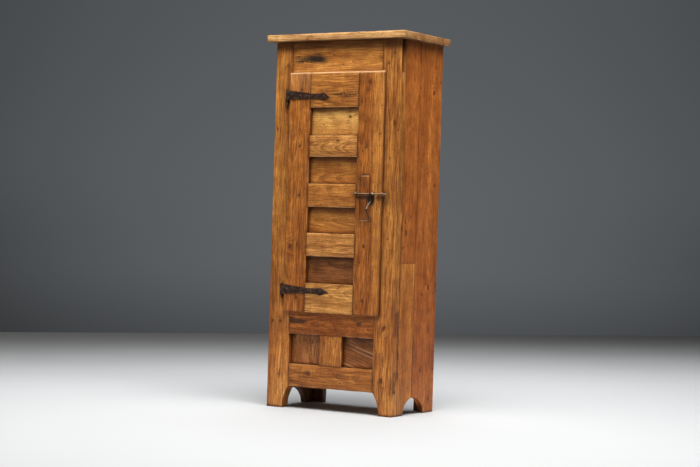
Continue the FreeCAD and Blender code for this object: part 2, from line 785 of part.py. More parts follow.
for number in BACK_BOARDS:
    board = new_body(f"back_board_{number + 1}", x=back_board_left(number), z="back_rail_low")
    height = ("0", f"{CARCASS_TOP} - back_rail_low")
    lap_face = "(body_depth - back_board_thickness / 2)"
    add(board, ("0", BACK_BOARD_WIDTH), (lap_face, "body_depth"), height)
    lap_start = "0" if number == BACK_BOARDS[0] else "-back_board_lap"
    lap_end = BACK_BOARD_WIDTH if number == BACK_BOARDS[-1] else f"{BACK_BOARD_WIDTH} - back_board_lap"
    add(board, (lap_start, lap_end), (BOARD_FRONT, lap_face), height)
    for low in BACK_RAIL_LOWS:
        place = (f"{BACK_BOARD_WIDTH} / 2", "body_depth", f"{back_nail_height(low)} - back_rail_low")
        nail_seat(board, 1, -1, place, "back_nail_length")

# ---------------------------------------------------------------- floor and shelves

BOARD_SPAN = (f"board_end_gap - {INSIDE_HALF}", f"{INSIDE_HALF} - board_end_gap")

floor_front = new_body("floor_front_plank", z="floor_height")
add(floor_front, BOARD_SPAN, ("post_depth", "floor_seam"), ("0", "shelf_thickness"))
add(floor_front,
    (f"left_post_foot_width - {HALF_WIDTH}", f"{HALF_WIDTH} - right_post_foot_width"),
    ("rail_thickness", "post_depth"), ("0", "shelf_thickness"))
floor_rear = new_body("floor_rear_plank", z="floor_height")
add(floor_rear, BOARD_SPAN, ("floor_seam", REAR_POST_FRONT), ("0", "shelf_thickness"))

SHELF_HEIGHTS = ("shelf_one_height", "shelf_two_height", "shelf_three_height")
for number, height in enumerate(SHELF_HEIGHTS, 1):
    shelf = new_body(f"shelf_{number}", z=height)
    add(shelf, BOARD_SPAN, ("post_depth + shelf_front_gap", f"{REAR_POST_FRONT} - shelf_back_gap"),
        ("0", "shelf_thickness"))
    round_edges(shelf, "arris_round", ("YMin", "ZMax"))
    add(shelf, (f"shelf_back_gap - {BACK_HALF}", f"{BACK_HALF} - shelf_back_gap"),
        ("floor_seam", f"{BOARD_FRONT} - shelf_back_gap"), ("0", "shelf_thickness"))

CLEAT_HEIGHTS = [f"({height} - cleat_thickness)" for height in ("floor_height",) + SHELF_HEIGHTS]
CLEAT_SPAN = ("(post_depth + cleat_front_gap)", f"({REAR_POST_FRONT} - cleat_rear_gap)")
CLEAT_NAIL_FRONT = f"({CLEAT_SPAN[0]} + cleat_nail_inset)"
CLEAT_NAIL_REAR = f"({CLEAT_SPAN[1]} - cleat_nail_inset)"
CLEAT_FACE = "(side_thickness + cleat_thickness)"
for side in SIDES:
    cleats = []
    for height in CLEAT_HEIGHTS:
        cleat = new_body(f"{side}_cleat", x=f"{-SIDES[side]} * {HALF_WIDTH}", z=height)
        add(cleat, (inward(side, "side_thickness"), inward(side, CLEAT_FACE)),
            CLEAT_SPAN, ("0", "cleat_thickness"))
        for setback in (CLEAT_NAIL_FRONT, CLEAT_NAIL_REAR):
            nail_seat(cleat, 0, -SIDES[side],
                      (inward(side, CLEAT_FACE), setback, "cleat_thickness / 2"),
                      "cleat_nail_length")
        cleats.append(cleat)
    group(f"{side}_cleats", cleats)


def cleat_nail_seat(board, side, height, setback):
    """Seat of a cleat's nail in the side board behind the cleat."""
    nail_seat(board, 0, -SIDES[side],
              (inward(side, CLEAT_FACE), setback, f"{height} + cleat_thickness / 2"),
              "cleat_nail_length")


# The second cleat on the right is nailed where the patch laps the board above it
(patched_heights, upper_heights) = (CLEAT_HEIGHTS[:2], CLEAT_HEIGHTS[1:])
NAILED_BOARDS = (
    ("left", whole_board, CLEAT_HEIGHTS, CLEAT_NAIL_FRONT),
    ("right", patch_board, patched_heights, CLEAT_NAIL_FRONT),
    ("right", upper_board, upper_heights, CLEAT_NAIL_FRONT),
    ("left", rear_boards["left"], CLEAT_HEIGHTS, CLEAT_NAIL_REAR),
    ("right", rear_boards["right"], CLEAT_HEIGHTS, CLEAT_NAIL_REAR),
)
for side, board, heights, setback in NAILED_BOARDS:
    for height in heights:
        cleat_nail_seat(board, side, height, setback)

# ---------------------------------------------------------------- door

DOOR_FRONT = "(-door_lip)"
DOOR_LAYERS = ((DOOR_FRONT, "0"), ("0", "door_inset"))
INSET_LOW = "(middle_rail_top + door_gap)"
INSET_HIGH = f"({FRIEZE_UNDERSIDE} - door_gap)"
DOOR_TENON = ("door_tenon_setback", "door_tenon_setback + door_tenon_thickness")
DOOR_PANEL = ("door_panel_setback", "door_panel_setback + door_panel_thickness")

RAIL_HEIGHTS = (
    "rail_one_height", "rail_two_height", "rail_three_height", "rail_four_height",
    "rail_five_height",
)
DOOR_HEIGHT = f"({DOOR_TOP} - {DOOR_BOTTOM})"
PANEL_SPACE = f"(({DOOR_HEIGHT} - {' - '.join(RAIL_HEIGHTS)}) / {len(RAIL_HEIGHTS) - 1})"
# The second and the third rail sit a little lower than an even spacing puts them
RAIL_DROPS = ("0", "inner_rails_drop", "inner_rails_drop", "0", "0")


def door_rail_span(number):
    """Low and high edge of a door rail, the top one being number 0."""
    taken = " - ".join((f"{number} * {PANEL_SPACE}", RAIL_DROPS[number]) + RAIL_HEIGHTS[:number])
    high = f"({DOOR_TOP} - {taken})"
    return (f"({high} - {RAIL_HEIGHTS[number]})", high)


# From the top rail down; the panels fill the spaces
DOOR_RAILS = [door_rail_span(number) for number in range(len(RAIL_HEIGHTS))]
DOOR_SPACES = [(below[1], above[0]) for above, below in zip(DOOR_RAILS, DOOR_RAILS[1:])]


def rail_middle(low, high):
    """Formula for the height of a rail's middle line."""
    return f"(({low} + {high}) / 2)"


def tenon_span(low, high):
    """Height of a rail's tenon, kept clear of the lip at the top and bottom of the door."""
    return (f"max({low}; {INSET_LOW}) + door_tenon_shoulder",
            f"min({high}; {INSET_HIGH}) - door_tenon_shoulder")


STILES = {
    "left": ("door_hinge_stile", DOOR_LEFT, HINGE_STILE_INNER),
    "right": ("door_latch_stile", DOOR_RIGHT, LATCH_STILE_INNER),
}


def door_peg_x(side):
    """Formula for the x of the pegs through a stile."""
    inner = STILES[side][2]
    return f"{inner} - {SIDES[side]} * door_peg_inset"


def door_stile(side):
    """A stile whose outer lip is square and whose inner half follows the taper of the post."""
    name, outer, inner = STILES[side]
    stile = new_body(name)
    add(stile, (outer, inner), DOOR_LAYERS[0], (DOOR_BOTTOM, DOOR_TOP))
    outer_face = side_outer(side)
    round_edges(stile, "door_edge_round",
                (outer_face, "YMin"), ("YMin", "ZMax"), ("YMin", "ZMin"))
    gap = f"{SIDES[side]} * door_gap"
    inset = outline(stile, (
        (f"{post_edge(side, INSET_LOW)} + {gap}", INSET_LOW),
        (inner, INSET_LOW),
        (inner, INSET_HIGH),
        (f"{post_edge(side, INSET_HIGH)} + {gap}", INSET_HIGH),
    ))
    pad(stile, inset, "door_inset")
    depth = f"{inner} - {SIDES[side]} * door_tenon_length"
    for low, high in DOOR_RAILS:
        cut(stile, (depth, inner), DOOR_TENON, tenon_span(low, high))
        peg_hole(stile, DOOR_FRONT, "door_lip + door_peg_end", door_peg_x(side),
                 rail_middle(low, high))
    groove = f"{inner} - {SIDES[side]} * door_panel_tongue"
    for low, high in DOOR_SPACES:
        cut(stile, (groove, inner), DOOR_PANEL,
            (f"{low} - door_panel_tongue", f"{high} + door_panel_tongue"))
    return stile


stiles = {side: door_stile(side) for side in STILES}

door_rails = []
for number, (low, high) in enumerate(DOOR_RAILS, 1):
    rail = new_body(f"door_rail_{number}")
    door_rails.append(rail)
    is_top = number == 1
    is_bottom = number == len(DOOR_RAILS)
    width = (HINGE_STILE_INNER, LATCH_STILE_INNER)
    add(rail, width, DOOR_LAYERS[0], (low, high))
    if is_top:
        round_edges(rail, "door_edge_round", ("YMin", "ZMax"))
    if is_bottom:
        round_edges(rail, "door_edge_round", ("YMin", "ZMin"))
    add(rail, width, DOOR_LAYERS[1], (f"max({low}; {INSET_LOW})", f"min({high}; {INSET_HIGH})"))
    add(rail, (f"{HINGE_STILE_INNER} - door_tenon_length", f"{LATCH_STILE_INNER} + door_tenon_length"),
        DOOR_TENON, tenon_span(low, high))
    for side in STILES:
        peg_hole(rail, DOOR_FRONT, "door_lip + door_peg_end", door_peg_x(side),
                 rail_middle(low, high))
    if not is_top:
        cut(rail, width, DOOR_PANEL, (f"{high} - door_panel_tongue", high))
    if not is_bottom:
        cut(rail, width, DOOR_PANEL, (low, f"{low} + door_panel_tongue"))

for number, (low, high) in enumerate(DOOR_SPACES, 1):
    panel = new_body(f"door_panel_{number}")
    add(panel,
        (f"{HINGE_STILE_INNER} - door_panel_tongue", f"{LATCH_STILE_INNER} + door_panel_tongue"),
        DOOR_PANEL, (f"{low} - door_panel_tongue", f"{high} + door_panel_tongue"))

# A thin piece let into the latch stile where a lock once sat
PATCH_RIGHT = f"({DOOR_RIGHT} - lock_patch_inset)"
PATCH_SPAN = (f"({PATCH_RIGHT} - lock_patch_width)", PATCH_RIGHT)
BOLT_RAIL = DOOR_RAILS[2]
BOLT_HEIGHT = f"({rail_middle(*BOLT_RAIL)} + bolt_rise)"
PATCH_HEIGHT = (f"{BOLT_HEIGHT} - lock_patch_below_bolt", f"{BOLT_HEIGHT} + lock_patch_above_bolt")
PATCH_LAYER = (DOOR_FRONT, f"{DOOR_FRONT} + lock_patch_thickness")
cut(stiles["right"], PATCH_SPAN, PATCH_LAYER, PATCH_HEIGHT)
lock_patch = new_body("lock_patch")
add(lock_patch, PATCH_SPAN, PATCH_LAYER, PATCH_HEIGHT)

frame_pegs = [
    peg(peg_x(side, inset), "-peg_proud", "frame_peg_depth", height)
    for side, inset, height in FRAME_PEGS
]
group("frame_pegs", frame_pegs)

door_pegs = []
for side in STILES:
    for low, high in DOOR_RAILS:
        under_patch = side == "right" and (low, high) == BOLT_RAIL
        start = PATCH_LAYER[1] if under_patch else f"{DOOR_FRONT} - peg_proud"
        door_pegs.append(peg(door_peg_x(side), start, "door_peg_end", rail_middle(low, high)))
group("door_pegs", door_pegs)

# ---------------------------------------------------------------- nails of the carcass

carcass_nails = [
    nail(2, -1, (x, y, "cabinet_height"), "top_nail_length")
    for x, y in FRONT_PLANK_NAILS + REAR_PLANK_NAILS
]
for number in BACK_BOARDS:
    for low in BACK_RAIL_LOWS:
        place = (back_nail_x(number), "body_depth", back_nail_height(low))
        carcass_nails.append(nail(1, -1, place, "back_nail_length"))
for side, turn in SIDES.items():
    for height in SIDE_NAIL_HEIGHTS:
        place = (f"{-turn} * {HALF_WIDTH}", SIDE_NAIL_SETBACK, height)
        carcass_nails.append(nail(0, turn, place, "side_nail_length"))
    for height in CLEAT_HEIGHTS:
        for setback in (CLEAT_NAIL_FRONT, CLEAT_NAIL_REAR):
            place = (f"{turn} * ({CLEAT_FACE} - {HALF_WIDTH})", setback,
                     f"{height} + cleat_thickness / 2")
            carcass_nails.append(nail(0, -turn, place, "cleat_nail_length"))
group("carcass_nails", carcass_nails)

# ---------------------------------------------------------------- hinges

HINGES = {
    "upper": f"({DOOR_TOP} - hinge_inset)",
    "lower": f"({DOOR_BOTTOM} + hinge_inset)",
}
HINGE_RAILS = {
    "upper": door_rails[0],
    "lower": door_rails[-1],
}
PIVOT_X = f"({DOOR_LEFT} - eye_door_gap - eye_radius)"
PIVOT_STANDOFF = "(eye_radius + eye_post_gap)"
PIVOT_Y = f"{FRONT} - {PIVOT_STANDOFF}"
DOOR_FACE_Y = f"{FRONT} - door_lip"
PIN_RADIUS = "(eye_bore_radius - pin_clearance)"
STRAP_NAILS = ("strap_nail_one", "strap_nail_two", "strap_nail_three")


def strap_middle(which, along):
    """Height of a strap's middle line below or above its eye, for a distance from the pivot."""
    return f"(-{which}_strap_drop * ({along}) / {which}_strap_length)"


def hinge_nail_places(which):
    """Where a strap's nails go: distance from the pivot and height from the eye's middle."""
    stations = STRAP_NAILS + (f"{which}_barb",)
    return [(along, strap_middle(which, along)) for along in stations]


def square_ends(wedge, wide, narrow):
    """Give a square taper its wide and its narrow end."""
    for axis, width in (("X", wide), ("Z", wide), ("X2", narrow), ("Z2", narrow)):
        wedge.setExpression(axis + "min", formula(f"-{width} / 2"))
        wedge.setExpression(axis + "max", formula(f"{width} / 2"))


def strap_hinge(which):
    """Forged strap: a tapering leaf ending in a spear head, with a rolled eye."""
    strap = new_body(f"strap_hinge_{which}", PIVOT_X, DOOR_FACE_Y, HINGES[which])
    stations = (
        ("0", "eye_height"),
        ("eye_radius", "eye_height"),
        (f"{which}_neck_start", "strap_neck"),
        (f"{which}_neck_end", "strap_neck"),
        (f"{which}_barb", "strap_barb"),
    )
    under = [(along, f"{strap_middle(which, along)} - {height} / 2") for along, height in stations]
    over = [(along, f"{strap_middle(which, along)} + {height} / 2") for along, height in stations]
    tip = (f"{which}_strap_length", f"-{which}_strap_drop")
    profile = outline(strap, under + [tip] + over[::-1])
    pad(strap, profile, "strap_thickness", forwards=True)
    bevel_edges(strap, "strap_bevel", ("YMin",))
    eye_y = f"door_lip - {PIVOT_STANDOFF}"
    cylinder(strap, "Additive", UPWARDS, "eye_radius", "eye_height", "0", eye_y, "-eye_height / 2")
    bore(strap, "eye_bore_radius", "eye_height", "0", eye_y, "-eye_height / 2", along=UPWARDS)
    for along, height in hinge_nail_places(which):
        cut(strap, span(along, "nail_shank"), ("-strap_thickness", "0"), span(height, "nail_shank"))
    return strap


def pintle(which):
    """A pin under and through the eye, on a square spike driven into the post."""
    pin = new_body(f"hinge_pintle_{which}", PIVOT_X, PIVOT_Y, HINGES[which])
    shoulder_top = "(-eye_height / 2 - eye_play)"
    shoulder_low = f"({shoulder_top} - shoulder_thickness)"
    spike_low = f"({shoulder_low} - spike_width)"
    cylinder(pin, "Additive", UPWARDS, PIN_RADIUS, f"eye_height / 2 + pin_above_eye - {shoulder_low}",
             "0", "0", shoulder_low)
    bevel_edges(pin, "strap_bevel", ("ZMax",))
    collar = pin.newObject("PartDesign::AdditivePrism", f"{pin.Label}_Collar")
    collar.Polygon = 8
    collar.setExpression("Circumradius", formula("shoulder_radius"))
    collar.setExpression("Height", formula("shoulder_thickness"))
    put(collar, "0", "0", shoulder_low)
    add(pin, span("0", "spike_width"), ("-spike_width / 2", f"{PIVOT_STANDOFF} + spike_depth"),
        (spike_low, shoulder_low))
    tail = pin.newObject("PartDesign::AdditiveWedge", f"{pin.Label}_Tail")
    tail.Placement.Rotation = FreeCAD.Rotation(BACKWARDS, FreeCAD.Vector(0, 0, -1))
    tail.Ymin = 0
    tail.setExpression("Ymax", formula(f"{which}_tail_length"))
    square_ends(tail, "spike_width", "tail_tip")
    put(tail, "0", "0", spike_low)
    spike_z = (f"{HINGES[which]} + {spike_low}", f"{HINGES[which]} + {shoulder_low}")
    post_x = f"{PIVOT_X} + {HALF_WIDTH}"
    cut(posts["left"], span(post_x, "spike_width"), ("0", "spike_depth"), spike_z)
    return pin


def strap_nail(x, z):
    """A square nail with a four-sided rose head standing on the strap."""
    face = f"{DOOR_FACE_Y} - strap_thickness"
    shank = solid_block("strap_nail_shank", (
        span(x, "nail_shank"), run(face, 1, "strap_nail_length"), span(z, "nail_shank")))
    head = document.addObject("Part::Wedge", "strap_nail_head")
    head.Placement.Rotation = FreeCAD.Rotation(UPWARDS, 180)
    square_ends(head, "strap_nail_head", "strap_nail_tip")
    head.Ymin = 0
    head.setExpression("Ymax", formula("strap_nail_rise"))
    put(head, x, face, z)
    whole = document.addObject("Part::Fuse", "strap_nail")
    whole.Base = head
    whole.Tool = shank
    return whole


hinge_nails = []
for which, height in HINGES.items():
    strap_hinge(which)
    pintle(which)
    for along, rise in hinge_nail_places(which):
        x = f"({PIVOT_X} + {along})"
        z = f"({height} + {rise})"
        hinge_nails.append(strap_nail(x, z))
        wood = HINGE_RAILS[which] if along.endswith("barb") else stiles["left"]
        cut(wood, span(x, "nail_shank"),
            run(DOOR_FRONT, 1, "strap_nail_length - strap_thickness"), span(z, "nail_shank"))
group("hinge_nails", hinge_nails)

# ---------------------------------------------------------------- bolt

ROD_Y = f"{FRONT} - rod_standoff"
ROD_TO_DOOR = "(rod_standoff - door_lip)"
STAPLE_LEFT = f"({DOOR_RIGHT} - staple_left_inset)"
STAPLE_RIGHT = f"({DOOR_RIGHT} - staple_right_inset)"
KEEPER_X = f"({DOOR_RIGHT} + keeper_door_gap)"
PULL_X = f"({DOOR_RIGHT} - pull_inset)"
ROD_LEFT = f"({STAPLE_LEFT} - rod_left_reach)"
ROD_RIGHT = f"({KEEPER_X} + rod_right_reach)"
BOW_SPAN = (SLIDE_RADIUS, f"({SLIDE_RADIUS} + bow_thickness)")


def bow(name, x, leg):
    """Flat bar bent over the rod: a half ring in front and two legs running back into the wood."""
    staple = new_body(name, x, ROD_Y, BOLT_HEIGHT)
    (left, right) = span("0", "bow_width")
    (inner, outer) = BOW_SPAN
    section = outline(staple, ((left, inner), (right, inner), (right, outer), (left, outer)))
    arch = staple.newObject("PartDesign::Revolution", f"{name}_Arch")
    arch.Profile = section
    arch.ReferenceAxis = (section, ["H_Axis"])
    arch.Angle = 180
    section.Visibility = False
    for low, high in (BOW_SPAN, (f"-{inner}", f"-{outer}")):
        add(staple, (left, right), ("0", leg), (low, high))
    return staple


def bow_seat(wood, x, y, bite):
    """Holes for the two legs of a bow, counted from the wood's own frame."""
    for turn in (1, -1):
        heights = tuple(f"{BOLT_HEIGHT} + {turn} * {height}" for height in BOW_SPAN)
        cut(wood, span(x, "bow_width"), run(y, 1, bite), heights)


for name, x in (("bolt_staple_left", STAPLE_LEFT), ("bolt_staple_right", STAPLE_RIGHT)):
    bow(name, x, f"{ROD_TO_DOOR} + staple_bite")
    bow_seat(stiles["right"], x, DOOR_FRONT, "staple_bite")
bow("bolt_keeper", KEEPER_X, "rod_standoff + keeper_bite")
bow_seat(posts["right"], f"{KEEPER_X} - {HALF_WIDTH}", "0", "keeper_bite")

rod = new_body("bolt_rod", "0", ROD_Y, BOLT_HEIGHT)
cylinder(rod, "Additive", RIGHTWARDS, "rod_radius", f"{ROD_RIGHT} - {ROD_LEFT}", ROD_LEFT, "0", "0")
bevel_edges(rod, "rod_end_bevel", ("XMin",), ("XMax",))
COLLAR_GAP = "(pull_bar / 2 + slide_clearance)"
for x in (f"{PULL_X} - {COLLAR_GAP} - collar_width", f"{PULL_X} + {COLLAR_GAP}"):
    cylinder(rod, "Additive", RIGHTWARDS, "collar_radius", "collar_width", x, "0", "0")


def rounded_path(start, bends, end):
    """A path of straight stretches joined by arcs; each bend is its corner and its radius."""
    corners = [start] + [corner for corner, radius in bends] + [end]
    pieces = []
    here = start
    for before, (corner, radius), after in zip(corners, bends, corners[2:]):
        came = (corner - before).normalize()
        goes = (after - corner).normalize()
        half_turn = came.getAngle(goes) / 2
        reach = radius * math.tan(half_turn)
        (enter, leave) = (corner - came * reach, corner + goes * reach)
        inside = (goes - came).normalize()
        middle = corner + inside * radius * (1 / math.cos(half_turn) - 1)
        pieces.append(Part.LineSegment(here, enter))
        pieces.append(Part.Arc(enter, middle, leave))
        here = leave
    pieces.append(Part.LineSegment(here, end))
    return Part.Wire([piece.toShape() for piece in pieces])


# The pull: an eye on the rod and an S-shaped eight-sided bar forged on from its underside
bar = sheet.get("pull_bar") / 2
eye_inner = sheet.get("rod_radius") + sheet.get("slide_clearance")
eye_outer = eye_inner + sheet.get("pull_bar")
eye_left = FreeCAD.Vector(-bar, 0, 0)
eye = Part.makeCylinder(eye_outer, 2 * bar, eye_left, RIGHTWARDS)
neck = FreeCAD.Vector(0, 0, -sheet.get("pull_neck_drop"))
belly = FreeCAD.Vector(-sheet.get("pull_bow"), 0, -sheet.get("pull_bow_drop"))
tail = FreeCAD.Vector(sheet.get("pull_tail"), 0, -sheet.get("pull_tail_drop"))
route = rounded_path(
    FreeCAD.Vector(0, 0, -eye_inner),
    [(neck, sheet.get("pull_neck_radius")), (belly, sheet.get("pull_bow_radius"))],
    tail,
)
flats = [math.radians(45 * number + 22.5) for number in range(8)]
section = [FreeCAD.Vector(bar * math.cos(turn), bar * math.sin(turn), -eye_inner) for turn in flats]
stem = route.makePipeShell([Part.makePolygon(section + section[:1])], True, False)
hole = Part.makeCylinder(eye_inner, 2 * bar, eye_left, RIGHTWARDS)
pull = document.addObject("Part::Feature", "bolt_pull")
pull.Label = "bolt_pull"
pull.Shape = eye.fuse(stem).cut(hole).removeSplitter()
put(pull, PULL_X, ROD_Y, BOLT_HEIGHT)

# ---------------------------------------------------------------- checks and STEP files

document.recompute()
NODES = (
    "top_front_plank", "top_rear_plank", "front_post_left", "front_post_right",
    "frieze_rail", "middle_rail", "bottom_rail", "lower_muntin", "lower_panel_left",
    "lower_panel_right", "left_side_front_board", "left_side_rear_board",
    "right_side_front_board", "right_side_patch", "right_side_rear_board",
    "rear_post_left", "rear_post_right", "back_rail_bottom", "back_rail_top",
    "back_board_1", "back_board_2", "back_board_3", "back_board_4", "floor_front_plank",
    "floor_rear_plank", "shelf_1", "shelf_2", "shelf_3", "left_cleats", "right_cleats",
    "frame_pegs", "carcass_nails", "hinge_pintle_upper", "hinge_pintle_lower", "bolt_keeper",
    "door_hinge_stile", "door_latch_stile", "door_rail_1", "door_rail_2", "door_rail_3",
    "door_rail_4", "door_rail_5", "door_panel_1", "door_panel_2", "door_panel_3",
    "door_panel_4", "lock_patch", "door_pegs", "strap_hinge_upper", "strap_hinge_lower",
    "hinge_nails", "bolt_staple_left", "bolt_staple_right", "bolt_rod", "bolt_pull",
)

for item in document.Objects:
    if "Invalid" in item.State or "Error" in item.State:
        raise RuntimeError(f"{item.Label} did not compute: {item.State}")

os.makedirs("parts", exist_ok=True)
for node in NODES:
    piece = document.getObjectsByLabel(node)[0]
    if piece.Shape.isNull() or not piece.Shape.isValid() or not piece.Shape.Solids:
        raise RuntimeError(f"{node} has no valid shape")
    piece.Shape.exportStep(f"parts/{node}.step")
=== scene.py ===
import json
import math
from functools import reduce

import bmesh
import bpy
from mathutils import Matrix, Vector, noise
from mathutils.bvhtree import BVHTree
from mathutils.kdtree import KDTree

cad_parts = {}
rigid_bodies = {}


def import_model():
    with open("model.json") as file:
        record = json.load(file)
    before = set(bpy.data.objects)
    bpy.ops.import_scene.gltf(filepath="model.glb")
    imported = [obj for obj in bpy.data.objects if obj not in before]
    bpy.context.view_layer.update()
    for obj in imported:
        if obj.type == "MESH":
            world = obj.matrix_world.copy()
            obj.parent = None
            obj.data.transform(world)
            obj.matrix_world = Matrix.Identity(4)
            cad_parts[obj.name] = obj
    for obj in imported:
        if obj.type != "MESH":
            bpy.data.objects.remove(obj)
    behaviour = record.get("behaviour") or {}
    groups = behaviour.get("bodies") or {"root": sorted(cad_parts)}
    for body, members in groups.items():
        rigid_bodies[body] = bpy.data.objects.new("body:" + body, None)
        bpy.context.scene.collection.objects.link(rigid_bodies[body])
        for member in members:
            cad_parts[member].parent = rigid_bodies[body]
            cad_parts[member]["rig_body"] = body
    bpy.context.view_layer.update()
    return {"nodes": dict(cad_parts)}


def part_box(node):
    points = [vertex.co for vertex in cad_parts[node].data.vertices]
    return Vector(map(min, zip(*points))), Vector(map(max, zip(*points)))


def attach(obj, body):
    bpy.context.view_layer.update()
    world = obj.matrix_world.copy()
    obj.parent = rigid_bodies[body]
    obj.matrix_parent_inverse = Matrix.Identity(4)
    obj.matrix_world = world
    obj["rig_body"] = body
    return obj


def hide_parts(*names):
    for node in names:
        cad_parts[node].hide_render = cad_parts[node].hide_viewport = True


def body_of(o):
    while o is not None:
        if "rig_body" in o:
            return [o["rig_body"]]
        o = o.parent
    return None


# A pine bonnetiere dressed around its CAD pieces. Metres, in the frame of the CAD model.

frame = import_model()


def srgb(red, green, blue):
    """A colour read off a screen, as the linear colour that Blender works with."""
    shares = [value / 255 for value in (red, green, blue)]
    return tuple(
        share / 12.92 if share <= 0.04045 else ((share + 0.055) / 1.055) ** 2.4
        for share in shares
    ) + (1,)


# ---------------------------------------------------------------- camera and stage

CAMERA_PLACE = Vector((4.33892, -6.95024, 0.82929))
CAMERA_AZIMUTH = math.radians(32.064)
CAMERA_ELEVATION = math.radians(0.119)
CAMERA_ROLL = math.radians(1.739)
CAMERA_REACH = 100
# In millimetres
CAMERA_LENS = 91.07
CAMERA_SENSOR = 36


def make_camera():
    """The photographer's camera: low, far off to the right, and rolled a little."""
    forward = Vector((
        -math.sin(CAMERA_AZIMUTH) * math.cos(CAMERA_ELEVATION),
        math.cos(CAMERA_AZIMUTH) * math.cos(CAMERA_ELEVATION),
        -math.sin(CAMERA_ELEVATION),
    ))
    level = forward.cross(Vector((0, 0, 1))).normalized()
    upright = level.cross(forward)
    across = level * math.cos(CAMERA_ROLL) + upright * math.sin(CAMERA_ROLL)
    up = upright * math.cos(CAMERA_ROLL) - level * math.sin(CAMERA_ROLL)
    data = bpy.data.cameras.new("camera")
    data.sensor_width = CAMERA_SENSOR
    data.lens = CAMERA_LENS
    data.clip_end = CAMERA_REACH
    camera = bpy.data.objects.new("camera", data)
    turn = Matrix((across, up, -forward)).transposed()
    camera.matrix_world = Matrix.Translation(CAMERA_PLACE) @ turn.to_4x4()
    bpy.context.scene.collection.objects.link(camera)
    bpy.context.scene.camera = camera


class Shader:
    """Short ways to add nodes to one node tree and to join them."""

    def __init__(self, tree):
        self.tree = tree
        self.tree.nodes.clear()

    def add(self, kind, **settings):
        node = self.tree.nodes.new(kind)
        for name, value in settings.items():
            setattr(node, name, value)
        return node

    def join(self, socket, value):
        """Link a socket to another one, or set its number or colour."""
        if isinstance(value, bpy.types.NodeSocket):
            self.tree.links.new(value, socket)
        else:
            socket.default_value = value

    def math(self, operation, *values):
        node = self.add("ShaderNodeMath", operation=operation)
        for socket, value in zip(node.inputs, values):
            self.join(socket, value)
        return node.outputs[0]

    def plus(self, a, b):
        return self.math("ADD", a, b)

    def minus(self, a, b):
        return self.math("SUBTRACT", a, b)

    def times(self, a, b):
        return self.math("MULTIPLY", a, b)

    def total(self, *values):
        return reduce(self.plus, values)

    def product(self, *values):
        return reduce(self.times, values)

    def vector_math(self, operation, *values):
        node = self.add("ShaderNodeVectorMath", operation=operation)
        for socket, value in zip(node.inputs, values):
            self.join(socket, value)
        return node.outputs["Value" if operation in ("DOT_PRODUCT", "LENGTH") else "Vector"]

    def scaled(self, colour, share):
        """A colour made lighter or darker by a number."""
        node = self.add("ShaderNodeVectorMath", operation="SCALE")
        self.join(node.inputs[0], colour)
        self.join(node.inputs["Scale"], share)
        return node.outputs[0]

    def combine(self, x, y, z):
        node = self.add("ShaderNodeCombineXYZ")
        for socket, value in zip(node.inputs, (x, y, z)):
            self.join(socket, value)
        return node.outputs[0]

    def separate(self, vector):
        node = self.add("ShaderNodeSeparateXYZ")
        self.join(node.inputs[0], vector)
        return dict(zip("XYZ", node.outputs))

    def noise(self, vector, scale, detail=2, roughness=0.5):
        node = self.add("ShaderNodeTexNoise")
        self.join(node.inputs["Vector"], vector)
        node.inputs["Scale"].default_value = scale
        node.inputs["Detail"].default_value = detail
        node.inputs["Roughness"].default_value = roughness
        return node.outputs[0]

    def step(self, value, start, end, low=0, high=1):
        """Soft step from low to high while the value goes from start to end."""
        node = self.add("ShaderNodeMapRange", interpolation_type="SMOOTHSTEP")
        for socket, number in zip(node.inputs, (value, start, end, low, high)):
            self.join(socket, number)
        return node.outputs[0]

    def mix(self, share, a, b):
        """The colour a, with a share of the colour b."""
        node = self.add("ShaderNodeMix", data_type="RGBA")
        self.join(node.inputs[0], share)
        self.join(node.inputs[6], a)
        self.join(node.inputs[7], b)
        return node.outputs[2]

    def coordinates(self):
        """Places in the frame at rest, which stick to the piece when it moves."""
        return self.add("ShaderNodeTexCoord").outputs["Object"]

    def normal(self):
        return self.add("ShaderNodeTexCoord").outputs["Normal"]

    def attribute(self, name):
        return self.add("ShaderNodeAttribute", attribute_name=name).outputs["Fac"]

    def bump(self, height, depth):
        node = self.add("ShaderNodeBump")
        node.inputs["Strength"].default_value = 1
        node.inputs["Distance"].default_value = depth
        self.join(node.inputs["Height"], height)
        return node.outputs[0]


class Surface(Shader):
    """One material with a Principled shader."""

    def __init__(self, name):
        self.material = bpy.data.materials.new(name)
        self.material.use_nodes = True
        super().__init__(self.material.node_tree)
        self.shader = self.add("ShaderNodeBsdfPrincipled")
        output = self.add("ShaderNodeOutputMaterial")
        self.join(output.inputs["Surface"], self.shader.outputs[0])

    def set(self, name, value):
        self.join(self.shader.inputs[name], value)


# The floor ends at the foot of the backdrop, whose line goes through this point
BACKDROP_FOOT = Vector((-3.126, 5.013, 0))
BACKDROP_DIRECTION = math.radians(54.786)
FLOOR_SPREAD = 18
FLOOR_WHITE = (0.572, 0.588, 0.606, 1)
# Colour of the painted shade on the floor at the backdrop
FLOOR_SHADE = (0.135, 0.135, 0.135, 1)
# Distances from the backdrop over which the floor's painted shade gives way to pale, and
# how a cloud moves them
FLOOR_RISE = (0.3, 4.9)
FLOOR_CLOUD = 0.3
FLOOR_CLOUD_SCALE = 1.5
FLOOR_ROUGHNESS = (0.75, 0.9)
FLOOR_SPECULAR = 0.15

BACKDROP_GREY = srgb(98, 101, 104)
# Level, and along the picture from left to right
BACKDROP_ASIDE = (math.cos(CAMERA_AZIMUTH), math.sin(CAMERA_AZIMUTH), 0)
# The backdrop gets darker aside from here, but no darker than a share of its grey
BACKDROP_MIDDLE = 0.01
BACKDROP_DARKEST = 0.5
